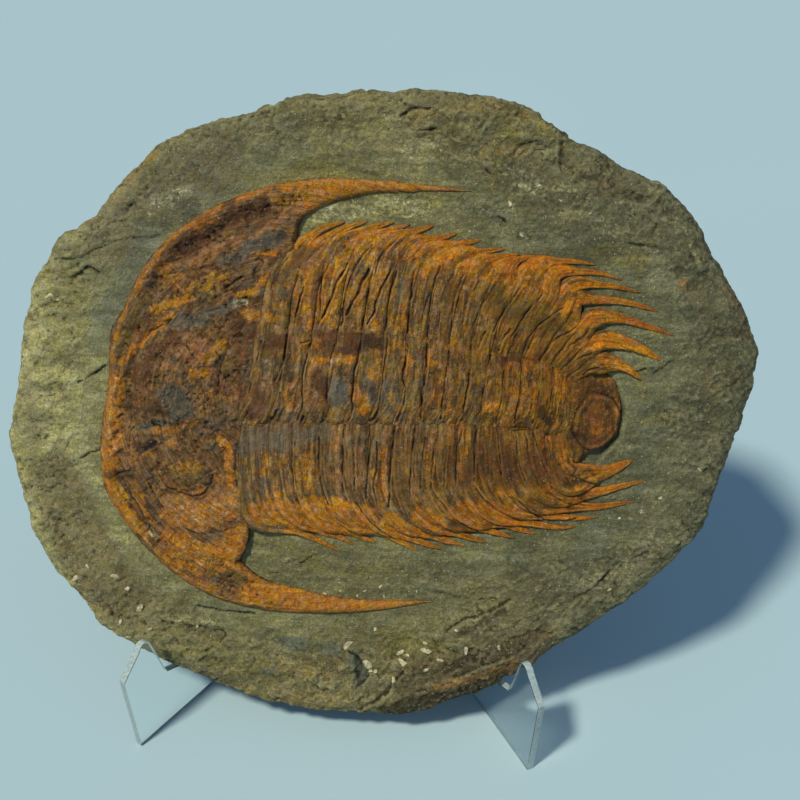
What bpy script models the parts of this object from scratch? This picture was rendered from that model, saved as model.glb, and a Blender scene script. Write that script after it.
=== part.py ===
"""A trilobite fossil in an oval stone slab, leaning on a folded clear acrylic easel.

The slab's face has its own flat frame: U runs to the right, V runs up the face, and H stands out of
it. Lengths on the face are written in millimetres and turned to metres when a point is placed.
"""
import math

import bmesh
import bpy
import numpy as np
from mathutils import Vector
from mathutils.geometry import delaunay_2d_cdt

MM = 0.001

# The slab and how it stands
LEAN = math.radians(23.0)
FACE_CENTRE_HEIGHT = 225.0 * MM
FACE_CENTRE_X = 5.8 * MM
FACE_CENTRE_Y = -4.8 * MM
SLAB_THICKNESS = 27.0
RIM_STEP = 9.0
RIM_CHIP = 1.6
FACE_POINT_SPACING = 7.3

# The easel
SHEET = 5.0 * MM
WING_LENGTH = 254.0 * MM
WING_ANGLE = math.radians(32.3)
FOLD_RADIUS = 9.0 * MM
EASEL_HEIGHT = 300.0 * MM
FEET_Y = -103.8 * MM
FOLD_X = -15.7 * MM
KNEE = (-5.5, 67.0)
LIP_CENTRE = (15.5, 81.5)
LIP_RADIUS = 5.5
NOTCH_FRONT = 30.5
NOTCH_HEIGHT = 47.0
NOTCH_RUN = 38.5
NOTCH_FILLET = 3.0

# The slab's outline, clockwise from the left end
SLAB_OUTLINE = [
    (-247, -33), (-239, 13), (-234, 42), (-229, 65), (-211, 97), (-189, 111), (-168, 135), (-146, 158),
    (-126, 169), (-93, 177), (-59, 189), (-27, 192), (20, 197), (54, 193), (86, 186), (109, 169),
    (142, 154), (168, 143), (186, 125), (208, 93), (224, 69), (234, 42), (233, 19), (221, -26),
    (209, -73), (189, -100), (160, -129), (129, -154), (107, -173), (69, -196), (35, -211), (9, -217),
    (-39, -215), (-76, -210), (-105, -201), (-134, -190), (-156, -178), (-186, -163), (-201, -142),
    (-218, -127), (-233, -96), (-243, -54),
]

# The head shield: its outer margin from the lower spine's tip round the front to the upper spine's tip
HEAD_MARGIN = [
    (37, -131), (3, -139), (-31, -143), (-64, -144), (-91, -141), (-118, -132), (-142, -116),
    (-159, -99), (-171, -83), (-181, -66), (-184, -47), (-184, -28), (-181, -10), (-178, 10),
    (-176, 40), (-167, 57), (-157, 79), (-141, 99), (-118, 117), (-87, 132), (-49, 141), (-24, 142),
    (7, 141), (51, 137),
]
LOWER_SPINE_INNER = [(37, -131), (16, -132), (-21, -132), (-44, -129), (-68, -124), (-81, -118), (-91, -109)]
UPPER_SPINE_INNER = [(-56, 101), (-54, 115), (-42, 124), (-24, 131), (1, 135), (51, 137)]
HEAD_REAR = [(-91, -109), (-85, -90), (-87, -66), (-91, -40), (-89, -14), (-83, 20), (-78, 52), (-72, 82),
             (-56, 101)]
GLABELLA = [
    (-163, 8), (-159, 28), (-147, 43), (-131, 51), (-114, 49), (-102, 42), (-99, 15), (-102, -16),
    (-123, -18), (-142, -17), (-155, -21), (-162, -10),
]
GLABELLA_FURROWS = [
    [(-122, 44), (-117, 22), (-119, -8)],
    [(-111, 44), (-107, 20), (-110, -12)],
]
EYES = [((-125, -48), 14.0, -1.0), ((-112, 74), 12.0, 1.0)]

CHEEKS = [(-150, -46), (-148, -70), (-138, -88), (-120, -96), (-104, -88), (-101, -70), (-102, -40),
          (-148, -28), (-120, -78), (-140, 72), (-128, 90), (-105, 104), (-82, 108), (-92, 96),
          (-84, 86), (-90, 66)]
CHEEK_CORNERS = [(-112, -108), (-98, -118), (-84, -127), (-66, 118), (-60, 126)]

# The thorax: where each ring border meets the furrows above and below the axis
AXIS_TOP = [
    (-78, 52), (-61, 48), (-45, 49), (-29, 49), (-14, 48), (0, 48), (14, 47), (27, 45), (41, 41), (55, 38),
    (67, 37), (78, 36), (88, 36), (99, 34), (107, 32), (116, 28), (123, 25), (129, 22), (134, 18),
]
AXIS_BOTTOM = [
    (-89, -14), (-71, -13), (-56, -12), (-39, -12), (-22, -12), (-6, -11), (10, -11), (23, -10), (37, -9),
    (50, -9), (61, -9), (73, -9), (84, -10), (94, -10), (103, -12), (111, -13), (117, -14), (121, -15),
    (124, -16),
]
UPPER_BENDS = {0: (-75, 82), 4: (-8, 101), 7: (31, 94), 9: (62, 86), 11: (88, 71), 13: (108, 56),
               15: (124, 43), 18: (139, 26)}
LOWER_BENDS = {0: (-90, -76), 4: (-27, -75), 8: (31, -72), 11: (77, -62), 13: (103, -51), 15: (116, -40),
               16: (120, -33)}
UPPER_NOTCHES = [
    (-56, 101), (-43, 104), (-29, 108), (-16, 109), (-1, 109), (14, 110), (30, 106), (44, 101), (58, 98),
    (72, 95), (88, 92), (103, 89), (114, 83), (121, 75), (126, 66), (131, 54), (136, 42), (142, 28),
]
LOWER_NOTCHES = [
    (-85, -90), (-45, -81), (-24, -86), (-4, -88), (15, -87), (34, -88), (50, -87), (66, -84), (80, -81),
    (94, -77), (104, -73), (112, -69), (120, -63), (127, -56), (130, -46), (126, -35), (122, -27),
]
UPPER_TIPS = [
    (-14, 118), (-6, 118), (6, 118), (15, 115), (30, 117), (43, 113), (58, 108), (72, 104), (84, 101),
    (98, 98), (131, 95), (147, 85), (159, 78), (171, 67), (180, 52), (173, 37), (165, 24),
]
LOWER_TIPS = [
    (-27, -99), (-14, -95), (3, -95), (27, -97), (43, -95), (57, -92), (71, -88), (86, -85), (104, -80),
    (115, -78), (127, -74), (142, -68), (163, -57), (169, -42), (161, -28), (147, -25),
]
PIT = [(-15, -170), (-9, -172), (-5, -181), (-10, -196), (-14, -188)]
MOUND_LEDGE = [(53, 158), (56, 146), (54, 131), (60, 122)]
TAIL_PLATE = [(133, 14), (144, 12), (151, 2), (152, -10), (147, -19), (138, -23), (129, -21), (122, -13),
              (121, -3), (126, 8)]

# Heights over the bare rock, in millimetres
MARGIN_FOOT = 0.4
RIM_HEIGHT = 5.6
BORDER_FURROW = 3.4
CHEEK_HEIGHT = 7.0
CHEEK_CORNER_HEIGHT = 5.0
EYE_HEIGHT = 9.6
EYE_SLIT = 2.2
EYE_SIDES = 12
GLABELLA_HEIGHT = 12.0
AXIS_FURROW = 4.2
HEAD_REAR_HEIGHT = 4.4
AXIS_HEIGHT = 10.4
RIB_HEIGHT = 6.4
SPINE_HEIGHT = 3.0
TAIL_HEIGHT = 6.4
PIT_DEPTH = 4.5
LEDGE_STEPS = [(0.0, -0.8), (2.6, 2.4), (12.0, 2.8)]
LAST_RING = 16
CREST_SHARE = 0.66
RIM_WIDTH = 6.0
SPINE_CREST_LIMIT = 1.3
BORDER_WIDTH = 13.0


def clear_scene():
    for obj in list(bpy.data.objects):
        bpy.data.objects.remove(obj, do_unlink=True)


def material(name, colour, roughness, alpha=1.0, transmission=0.0):
    made = bpy.data.materials.new(name)
    made.use_nodes = True
    shader = made.node_tree.nodes["Principled BSDF"]
    shader.inputs["Base Color"].default_value = (*colour, 1.0)
    shader.inputs["Roughness"].default_value = roughness
    shader.inputs["Metallic"].default_value = 0.0
    shader.inputs["Alpha"].default_value = alpha
    shader.inputs["Transmission Weight"].default_value = transmission
    return made


def place_on_face(u, v, h):
    """World place, in metres, of a point given in millimetres on the slab's face."""
    right = Vector((1.0, 0.0, 0.0))
    up = Vector((0.0, math.sin(LEAN), math.cos(LEAN)))
    out = Vector((0.0, -math.cos(LEAN), math.sin(LEAN)))
    centre = Vector((FACE_CENTRE_X, FACE_CENTRE_Y, FACE_CENTRE_HEIGHT))
    return centre + (right * u + up * v + out * h) * MM


def resample(points, step, closed=False):
    """Points an even step apart along the straight runs between the given points."""
    ring = list(points) + ([points[0]] if closed else [])
    made = []
    for start, end in zip(ring, ring[1:]):
        start, end = np.array(start, float), np.array(end, float)
        count = max(1, round(float(np.linalg.norm(end - start)) / step))
        made.extend(start + (end - start) * i / count for i in range(count))
    if not closed:
        made.append(np.array(ring[-1], float))
    return np.array(made)


def smooth_line(points, step, closed=False):
    """Points an even step apart along a rounded curve through the given points."""
    ring = [np.array(p, float) for p in points]
    count = len(ring)
    made = []
    for i in range(count if closed else count - 1):
        before = ring[i - 1] if closed or i > 0 else ring[0]
        start = ring[i]
        end = ring[(i + 1) % count]
        after = ring[(i + 2) % count] if closed or i + 2 < count else end
        steps = max(1, round(float(np.linalg.norm(end - start)) / step))
        for j in range(steps):
            t = j / steps
            made.append(0.5 * (2 * start + (end - before) * t
                               + (2 * before - 5 * start + 4 * end - after) * t * t
                               + (3 * start - before - 3 * end + after) * t ** 3))
    if not closed:
        made.append(ring[-1])
    return np.array(made)


def inward_normals(line):
    """Unit vectors to the right of the line's direction."""
    ahead = np.gradient(line, axis=0)
    ahead /= np.linalg.norm(ahead, axis=1)[:, None]
    return np.stack([ahead[:, 1], -ahead[:, 0]], axis=1)


def distance_to_line(points, line):
    """Shortest distance from each point to a line of points."""
    best = np.full(len(points), 1e9)
    for a, b in zip(line, line[1:]):
        run = b - a
        t = np.clip(((points - a) @ run) / max(float(run @ run), 1e-9), 0.0, 1.0)
        best = np.minimum(best, np.linalg.norm(points - a - t[:, None] * run, axis=1))
    return best


def inside(points, ring):
    """True for each point inside the closed ring."""
    found = np.zeros(len(points), bool)
    for a, b in zip(ring, np.roll(ring, -1, axis=0)):
        crosses = (a[1] > points[:, 1]) != (b[1] > points[:, 1])
        rise = b[1] - a[1] if b[1] != a[1] else 1e-9
        at = a[0] + (points[:, 1] - a[1]) * (b[0] - a[0]) / rise
        found ^= crosses & (points[:, 0] < at)
    return found


def bezier(p0, p1, p2, p3, t):
    t = np.asarray(t)[:, None]
    return (1 - t) ** 3 * p0 + 3 * (1 - t) ** 2 * t * p1 + 3 * (1 - t) * t * t * p2 + t ** 3 * p3


def bend_point(bends, index):
    keys = sorted(bends)
    return np.array([np.interp(index, keys, [bends[k][axis] for k in keys]) for axis in (0, 1)])


def rib_border(axis_point, bend, notch, t):
    """A border between two ribs: straight out from the axis, then bent back to the notch."""
    start, bend, end = (np.array(p, float) for p in (axis_point, bend, notch))
    return bezier(start, start + (bend - start) * 0.78, bend + (end - bend) * 0.22, end, t)


def rock_height(points, rim):
    """The bare rock: broad waves, a worn rim, a split-off facet at the right and a scar at the top."""
    u, v = points[:, 0], points[:, 1]
    waves = 1.1 * np.sin(u / 31 + 0.7) * np.cos(v / 27 - 0.4) + 0.7 * np.sin((u + v) / 17 + 1.3)
    edge = distance_to_line(points, np.vstack([rim, rim[:1]]))
    worn = np.clip(1 - edge / 13.0, 0, 1) ** 2
    facet = np.clip((u - 196) / 30, 0, 1) * np.clip((v + 20) / 30, 0, 1)
    scar = np.clip((u - 103) / 2, 0, 1) * np.clip((v - 150 + (u - 103) * 0.4) / 6, 0, 1)
    mound = np.clip((u - 54) / 3, 0, 1) * np.clip((100 - u) / 40, 0, 1) * np.clip(1 - abs(v - 140) / 26, 0, 1)
    return waves - 4.0 * worn - 6.0 * facet - 3.5 * scar + 4.0 * mound


class Relief:
    """Gathers the lines and points that the slab's face is stretched over."""

    def __init__(self):
        self.points = []
        self.edges = []

    def line(self, points, heights, closed=False):
        heights = np.broadcast_to(heights, len(points))
        first = len(self.points)
        self.points.extend((float(u), float(v), float(h)) for (u, v), h in zip(points, heights))
        count = len(points)
        self.edges.extend((first + i, first + i + 1) for i in range(count - 1))
        if closed:
            self.edges.append((first + count - 1, first))

    def dots(self, points, heights):
        heights = np.broadcast_to(heights, len(points))
        self.points.extend((float(u), float(v), float(h)) for (u, v), h in zip(points, heights))


def chipped_rim(rng):
    """The slab's outline with small breaks along it."""
    line = resample(SLAB_OUTLINE, RIM_STEP, closed=True)
    line = line + inward_normals(line) * rng.uniform(-RIM_CHIP, RIM_CHIP, len(line))[:, None]
    return line


def head_ring():
    """The head shield's whole closed outline."""
    outer = smooth_line(HEAD_MARGIN, 11)
    upper = smooth_line(UPPER_SPINE_INNER, 11)[::-1]
    rear = smooth_line(HEAD_REAR, 11)[::-1]
    lower = smooth_line(LOWER_SPINE_INNER, 11)[::-1]
    return np.vstack([outer, upper[1:], rear[1:], lower[1:-1]])


def head_lines(relief):
    ring = head_ring()
    rear = distance_to_line(ring, smooth_line(HEAD_REAR[1:-1], 6)) < 1.0
    relief.line(ring, np.where(rear, HEAD_REAR_HEIGHT, MARGIN_FOOT), closed=True)
    outer = smooth_line(HEAD_MARGIN, 11)
    inner = np.vstack([smooth_line(LOWER_SPINE_INNER, 6), smooth_line(UPPER_SPINE_INNER, 6)])
    to_inner = np.array([np.min(np.linalg.norm(inner - p, axis=1)) for p in outer])
    normals = inward_normals(outer)
    crest_width = np.minimum(RIM_WIDTH, to_inner * 0.48)
    crest = outer + normals * crest_width[:, None]
    crest_height = RIM_HEIGHT * (crest_width / RIM_WIDTH) ** 0.8
    wide = crest_width > SPINE_CREST_LIMIT
    relief.line(crest[wide], crest_height[wide])
    has_border = to_inner > BORDER_WIDTH * 2.2
    furrow = (outer + normals * BORDER_WIDTH)[has_border]
    relief.line(furrow, BORDER_FURROW)
    return ring


def head_swellings(relief):
    """The glabella, its furrows, the eyes and the cheeks."""
    foot = smooth_line(GLABELLA, 9, closed=True)
    centre = foot.mean(axis=0)
    relief.line(foot, 5.6, closed=True)
    relief.line(centre + (foot - centre) * 0.78, GLABELLA_HEIGHT - 2.2, closed=True)
    relief.dots(resample([(-148, 12), (-136, 14), (-128, 14)], 8), GLABELLA_HEIGHT)
    for furrow in GLABELLA_FURROWS:
        relief.line(smooth_line(furrow, 9), GLABELLA_HEIGHT - 3.4)
    relief.line(smooth_line([(-93, 46), (-91, 18), (-96, -14)], 9), AXIS_HEIGHT)
    angles = np.linspace(0, 2 * math.pi, EYE_SIDES + 1)[:-1]
    circle = np.stack([1.15 * np.cos(angles), 0.9 * np.sin(angles)], axis=1)
    for place, radius, outer_side in EYES:
        slit = np.clip(circle[:, 1] * outer_side, 0, 1)
        relief.line(circle * radius + place, CHEEK_HEIGHT - 0.3 - EYE_SLIT * slit, closed=True)
        relief.line(circle * radius * 0.6 + place, EYE_HEIGHT - 0.8, closed=True)
        relief.dots([place], EYE_HEIGHT)
    for place in CHEEKS:
        relief.dots([place], CHEEK_HEIGHT)
    for place in CHEEK_CORNERS:
        relief.dots([place], CHEEK_CORNER_HEIGHT)


def axis_lines(relief):
    """The furrows beside the axis, and each ring's border and crest across it."""
    relief.line(np.array(AXIS_TOP, float), AXIS_FURROW)
    relief.line(np.array(AXIS_BOTTOM, float), AXIS_FURROW)
    t = np.array([0.12, 0.3, 0.5, 0.7, 0.88])
    arch = np.sin(np.pi * t) ** 0.6
    last = LAST_RING
    for index in range(1, last + 1):
        top, bottom = np.array(AXIS_TOP[index], float), np.array(AXIS_BOTTOM[index], float)
        height = AXIS_FURROW + (AXIS_HEIGHT - AXIS_FURROW) * arch * (1 - 0.45 * index / last)
        across = top + (bottom - top) * t[:, None]
        relief.line(across, height - 1.6)
        top_before, bottom_before = np.array(AXIS_TOP[index - 1], float), np.array(AXIS_BOTTOM[index - 1], float)
        crest_top = top_before + (top - top_before) * CREST_SHARE
        crest_bottom = bottom_before + (bottom - bottom_before) * CREST_SHARE
        relief.line(crest_top + (crest_bottom - crest_top) * t[:, None], height + 0.5)


def rib_lines(relief, axis_points, bends, notches, tips):
    """The ribs on one side of the axis, each ending in a free spine."""
    t = np.array([0.0, 0.16, 0.34, 0.52, 0.7, 0.86, 1.0])
    along = np.interp(t, [0, 0.16, 0.6, 1], [AXIS_FURROW, RIB_HEIGHT, RIB_HEIGHT, SPINE_HEIGHT])
    borders = []
    for index in range(len(notches)):
        border = rib_border(axis_points[index], bend_point(bends, index), notches[index], t)
        borders.append(border)
        if index > 0:
            relief.line(border[1:], along[1:] - np.interp(t[1:], [0.16, 0.8, 1], [1.7, 1.5, 2.2]))
    for index, tip in enumerate(tips):
        front, rear = borders[index], borders[index + 1]
        crest = (front + rear) / 2
        tip = np.array(tip, float)
        start = crest[-1]
        if index == 0:
            start = crest[-1] * 0.5 + rear[-1] * 0.5
            crest[-1] = start
        swing = start + (crest[-1] - crest[-2]) * 0.9
        spine = bezier(start, start + (swing - start) * 0.6, (swing + tip) / 2, tip, [0.34, 0.67, 0.9])
        relief.line(np.vstack([crest[1:], spine]), np.concatenate([along[1:] + 0.5, [2.4, 1.8, 1.0]]))
        for side, corner in ((0.0, front[-1]), (1.0, rear[-1])):
            if index == 0 and side == 0.0:
                continue
            half = np.linalg.norm(front[-1] - rear[-1]) * 0.5
            away = (corner - start) / max(float(np.linalg.norm(corner - start)), 1e-6)
            edge = spine + away * (np.array([0.62, 0.36, 0.14]) * min(half, 5.0))[:, None]
            relief.line(np.vstack([corner, edge, tip]), MARGIN_FOOT)


def tail_lines(relief):
    """The small rounded tail plate with its raised edge."""
    ring = smooth_line(TAIL_PLATE, 7, closed=True)
    centre = ring.mean(axis=0)
    relief.line(ring, MARGIN_FOOT, closed=True)
    relief.line(centre + (ring - centre) * 0.84, TAIL_HEIGHT, closed=True)
    relief.line(centre + (ring - centre) * 0.6, TAIL_HEIGHT - 1.4, closed=True)
    relief.dots([centre], TAIL_HEIGHT + 0.6)


def fossil_region():
    """Rings that hold the head, and the thorax with its spines and the tail."""
    body = [AXIS_TOP[0], UPPER_NOTCHES[0], *UPPER_TIPS, (155, -8), *LOWER_TIPS[::-1], LOWER_NOTCHES[0],
            AXIS_BOTTOM[0]]
    return [head_ring(), np.array(body, float)]


def rock_points(relief, rim, rng):
    """Scattered points over the bare rock, clear of the rim and of the fossil."""
    low, high = rim.min(axis=0), rim.max(axis=0)
    across = np.arange(low[0], high[0], FACE_POINT_SPACING)
    up = np.arange(low[1], high[1], FACE_POINT_SPACING * 0.87)
    grid = np.array([(u + (FACE_POINT_SPACING / 2 if row % 2 else 0), v)
                     for row, v in enumerate(up) for u in across])
    grid += rng.uniform(-2.0, 2.0, grid.shape)
    keep = inside(grid, rim) & (distance_to_line(grid, np.vstack([rim, rim[:1]])) > 5.0)
    for ring in fossil_region():
        closed = np.vstack([ring, ring[:1]])
        keep &= ~inside(grid, ring) & (distance_to_line(grid, closed) > 4.0)
    grid = grid[keep]
    near = np.min([distance_to_line(grid, np.vstack([r, r[:1]])) for r in fossil_region()], axis=0)
    rough = np.clip((near - 12) / 25, 0, 1)
    heights = rock_height(grid, rim) * np.clip(near / 24, 0.2, 1) + rng.uniform(-1.1, 1.1, len(grid)) * rough
    heights -= 1.4 * np.clip(1 - near / 22, 0, 1)
    relief.dots(grid, heights)


def rock_lines(relief):
    """The pit near the bottom and the ledge that the upper spine runs into."""
    pit = np.array(PIT, float)
    relief.line(pit, 0.2, closed=True)
    relief.line(pit.mean(axis=0) + (pit - pit.mean(axis=0)) * 0.6, -PIT_DEPTH, closed=True)
    ledge = np.array(MOUND_LEDGE, float)
    for away, height in LEDGE_STEPS:
        relief.line(ledge + (away, 0.0), height)


def slab_mesh():
    rng = np.random.default_rng(9)
    rim = chipped_rim(rng)
    relief = Relief()
    relief.line(rim, rock_height(rim, rim), closed=True)
    rim_count = len(rim)
    head_lines(relief)
    head_swellings(relief)
    axis_lines(relief)
    rib_lines(relief, AXIS_TOP, UPPER_BENDS, UPPER_NOTCHES, UPPER_TIPS)
    rib_lines(relief, AXIS_BOTTOM, LOWER_BENDS, LOWER_NOTCHES, LOWER_TIPS)
    tail_lines(relief)
    rock_lines(relief)
    rock_points(relief, rim, rng)

    flat = [Vector((u, v)) for u, v, _ in relief.points]
    verts, _, faces, sources, _, _ = delaunay_2d_cdt(flat, relief.edges, [list(range(rim_count))], 1, 0.35)
    heights = []
    given = np.array(relief.points)
    for vert, source in zip(verts, sources):
        if source:
            heights.append(float(np.mean(given[source, 2])))
        else:
            away = np.linalg.norm(given[:, :2] - np.array(vert), axis=1)
            nearest = np.argsort(away)[:3]
            weight = 1 / (away[nearest] + 1e-6)
            heights.append(float((given[nearest, 2] * weight).sum() / weight.sum()))

    mesh = bmesh.new()
    corners = [mesh.verts.new((vert[0], vert[1], height)) for vert, height in zip(verts, heights)]
    for face in faces:
        mesh.faces.new([corners[i] for i in face])
    add_wall_and_back(mesh, rng)
    for vert in mesh.verts:
        vert.co = place_on_face(*vert.co)
    bmesh.ops.recalc_face_normals(mesh, faces=mesh.faces)
    made = bpy.data.meshes.new("fossil_slab")
    mesh.to_mesh(made)
    mesh.free()
    return made


def add_wall_and_back(mesh, rng):
    """Carries the rim down to a flat back, stepping out and in like broken stone."""
    edges = [edge for edge in mesh.edges if edge.is_boundary]
    for depth, reach in ((SLAB_THICKNESS * 0.45, 1.2), (SLAB_THICKNESS, -4.5)):
        made = bmesh.ops.extrude_edge_only(mesh, edges=edges)["geom"]
        edges = [item for item in made if isinstance(item, bmesh.types.BMEdge)]
        for vert in [item for item in made if isinstance(item, bmesh.types.BMVert)]:
            outward = Vector((vert.co.x, vert.co.y * 1.3, 0.0)).normalized()
            push = reach + rng.uniform(-1.2, 1.2)
            vert.co += outward * push
            vert.co.z = -depth
    bmesh.ops.contextual_create(mesh, geom=edges)


def make_slab():
    obj = bpy.data.objects.new("fossil_slab", slab_mesh())
    obj.data.materials.append(material("stone", (0.20, 0.17, 0.10), 0.85))
    return obj


def wing_profile():
    """One wing's outline as (distance from its front foot, height), in millimetres."""
    lean_run = math.tan(LEAN) / math.cos(WING_ANGLE)
    floor_fall = math.tan(LEAN) * math.cos(WING_ANGLE)
    heel = (NOTCH_FRONT + NOTCH_RUN, NOTCH_HEIGHT - NOTCH_RUN * floor_fall)
    top = EASEL_HEIGHT / MM
    rest_top = heel[0] + (top - heel[1]) * lean_run
    lip = [(LIP_CENTRE[0] + LIP_RADIUS * math.cos(math.radians(a)),
            LIP_CENTRE[1] + LIP_RADIUS * math.sin(math.radians(a))) for a in range(155, 0, -30)]
    notch = [(NOTCH_FRONT, NOTCH_HEIGHT + NOTCH_FILLET), (NOTCH_FRONT + NOTCH_FILLET, NOTCH_HEIGHT),
             (heel[0] - 2.0, heel[1] + 1.0), (heel[0], heel[1] + 4.0)]
    return [(0.0, 0.0), KNEE] + lip + notch + [(rest_top - 3.0, top - 6.0), (rest_top + 3.0, top)]


def bend_sheet(run, side):
    """Where a distance along the unfolded sheet, measured from the fold, lies in plan."""
    reach = FOLD_RADIUS * (math.pi / 2 - WING_ANGLE)
    direction = Vector((math.sin(WING_ANGLE), -math.cos(WING_ANGLE)))
    if run <= reach:
        angle = run / FOLD_RADIUS
        place = Vector((FOLD_RADIUS * math.sin(angle), -FOLD_RADIUS * (1 - math.cos(angle))))
    else:
        angle = reach / FOLD_RADIUS
        start = Vector((FOLD_RADIUS * math.sin(angle), -FOLD_RADIUS * (1 - math.cos(angle))))
        place = start + direction * (run - reach)
    return Vector((place.x * side, place.y))


def make_easel():
    """The sheet's outline is filled flat, folded about the upright line at its middle, then thickened."""
    half = [(WING_LENGTH - d * MM, z * MM) for d, z in wing_profile()]
    outline = [(run, z) for run, z in half] + [(-run, z) for run, z in reversed(half)]
    mesh = bmesh.new()
    mesh.faces.new([mesh.verts.new((run, 0.0, z)) for run, z in outline])
    reach = FOLD_RADIUS * (math.pi / 2 - WING_ANGLE)
    for step in np.linspace(-reach, reach, 9):
        bmesh.ops.bisect_plane(mesh, geom=mesh.verts[:] + mesh.edges[:] + mesh.faces[:],
                               plane_co=(step, 0, 0), plane_no=(1, 0, 0))
    fold_y = FEET_Y + (WING_LENGTH - reach) * math.cos(WING_ANGLE) + FOLD_RADIUS * (1 - math.sin(WING_ANGLE))
    for vert in mesh.verts:
        side = 1.0 if vert.co.x >= 0 else -1.0
        place = bend_sheet(abs(vert.co.x), side)
        vert.co = (FOLD_X + place.x, fold_y + place.y, vert.co.z)
    bmesh.ops.recalc_face_normals(mesh, faces=mesh.faces)
    made = bpy.data.meshes.new("acrylic_easel")
    mesh.to_mesh(made)
    mesh.free()
    obj = bpy.data.objects.new("acrylic_easel", made)
    wall = obj.modifiers.new("thickness", "SOLIDIFY")
    wall.thickness = SHEET
    wall.offset = 0.0
    wall.use_even_offset = True
    obj.data.materials.append(material("clear_acrylic", (0.92, 0.96, 0.97), 0.05, alpha=0.35, transmission=1.0))
    return obj


def build():
    clear_scene()
    parts = bpy.data.collections.new("trilobite fossil")
    bpy.context.scene.collection.children.link(parts)
    for obj in (make_slab(), make_easel()):
        parts.objects.link(obj)


build()
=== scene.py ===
"""Finished surfaces of the trilobite slab and its clear easel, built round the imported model.

The slab's face has a flat frame in millimetres: U to the right, V up the face, H out of it.
Marks read from the photograph are listed as its pixels and carried onto the face by the camera.
"""
import math

import bmesh
import bpy
import numpy as np
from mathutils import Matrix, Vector
from mathutils.geometry import delaunay_2d_cdt


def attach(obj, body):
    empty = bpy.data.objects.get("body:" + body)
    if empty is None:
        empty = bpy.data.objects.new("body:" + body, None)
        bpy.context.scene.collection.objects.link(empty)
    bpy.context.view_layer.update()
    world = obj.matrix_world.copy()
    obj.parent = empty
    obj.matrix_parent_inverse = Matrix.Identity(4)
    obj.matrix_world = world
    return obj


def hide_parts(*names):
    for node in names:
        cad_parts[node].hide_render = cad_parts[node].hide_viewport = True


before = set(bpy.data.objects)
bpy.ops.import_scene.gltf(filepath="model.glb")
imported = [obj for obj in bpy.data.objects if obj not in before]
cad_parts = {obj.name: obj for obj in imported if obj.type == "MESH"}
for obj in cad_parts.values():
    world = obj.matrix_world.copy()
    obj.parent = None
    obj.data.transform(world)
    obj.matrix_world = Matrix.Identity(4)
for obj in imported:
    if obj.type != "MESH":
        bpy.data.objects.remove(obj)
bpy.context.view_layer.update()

MM = 0.001

# How the slab stands
LEAN = math.radians(23.0)
FACE_CENTRE = np.array([0.0058, -0.0048, 0.225])
RIGHT = np.array([1.0, 0.0, 0.0])
UP = np.array([0.0, math.sin(LEAN), math.cos(LEAN)])
OUT = np.array([0.0, -math.cos(LEAN), math.sin(LEAN)])
SLAB_THICKNESS = 27.0

# The camera, and the photograph's frame
PHOTO_SIZE = 800
LENS = 55.5
SENSOR = 36.0
CAMERA_AZIMUTH = math.radians(4.4)
CAMERA_ELEVATION = math.radians(35.0)
CAMERA_DISTANCE = 0.791
CENTRE_PIXEL = (382.0, 405.0)
PIXEL = 0.642

# The light
SUN_DIRECTION = (-0.352, -0.435, 0.829)
SUN_POWER = 3.68
SUN_COLOUR = (1.0, 0.93, 0.755)
FILL_DIRECTION = (0.7, -0.9, 0.9)
FILL_DISTANCE = 2.6
SKY_COLOUR = (0.50, 0.72, 1.0, 1.0)
SKY_STRENGTH = 0.36

# The easel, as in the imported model, with its right wing a little narrower as the photograph shows
SHEET = 5.0
WING_LENGTH = 254.0
WING_ANGLE = math.radians(32.3)
FOLD_RADIUS = 9.0
RIGHT_WING_SPREAD = 0.935
EASEL_HEIGHT = 300.0
FEET_Y = -103.8
FOLD_X = -15.7
KNEE = (-5.5, 67.0)
LIP_CENTRE = (15.5, 81.5)
LIP_RADIUS = 5.5
NOTCH_FRONT = 30.5
NOTCH_HEIGHT = 47.0
NOTCH_RUN = 38.5
NOTCH_FILLET = 3.0
EASED_EDGE = 0.6

# The slab's outline in millimetres on its face, clockwise from the left end
SLAB_OUTLINE = [
    (-247, -33), (-239, 13), (-234, 42), (-229, 65), (-211, 97), (-189, 111), (-168, 135), (-146, 158),
    (-126, 169), (-93, 177), (-59, 189), (-27, 192), (20, 197), (54, 193), (86, 186), (109, 169),
    (142, 154), (168, 143), (186, 125), (208, 93), (224, 69), (234, 42), (233, 19), (221, -26), (209, -73),
    (189, -100), (160, -129), (129, -154), (107, -173), (69, -196), (35, -211), (9, -217), (-39, -215),
    (-76, -210), (-105, -201), (-134, -190), (-156, -178), (-186, -163), (-201, -142), (-218, -127),
    (-233, -96), (-243, -54),
]

# The head shield
HEAD_MARGIN = [
    (37, -131), (3, -139), (-31, -143), (-64, -144), (-91, -141), (-118, -132), (-142, -116), (-159, -99),
    (-171, -83), (-181, -66), (-184, -47), (-184, -28), (-181, -10), (-178, 10), (-176, 40), (-167, 57),
    (-157, 79), (-141, 99), (-118, 117), (-87, 132), (-49, 141), (-24, 142), (7, 141), (51, 137),
]
LOWER_SPINE_INNER = [
    (37, -131), (16, -132), (-21, -132), (-44, -129), (-68, -124), (-81, -118), (-91, -109),
]
UPPER_SPINE_INNER = [
    (-56, 101), (-54, 115), (-42, 124), (-24, 131), (1, 135), (51, 137),
]
HEAD_REAR = [
    (-91, -109), (-85, -90), (-87, -66), (-91, -40), (-89, -14), (-83, 20), (-78, 52), (-72, 82),
    (-56, 101),
]
GLABELLA = [
    (-163, 8), (-159, 28), (-147, 43), (-131, 51), (-114, 49), (-102, 42), (-99, 15), (-102, -16),
    (-123, -18), (-142, -17), (-155, -21), (-162, -10),
]

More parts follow.
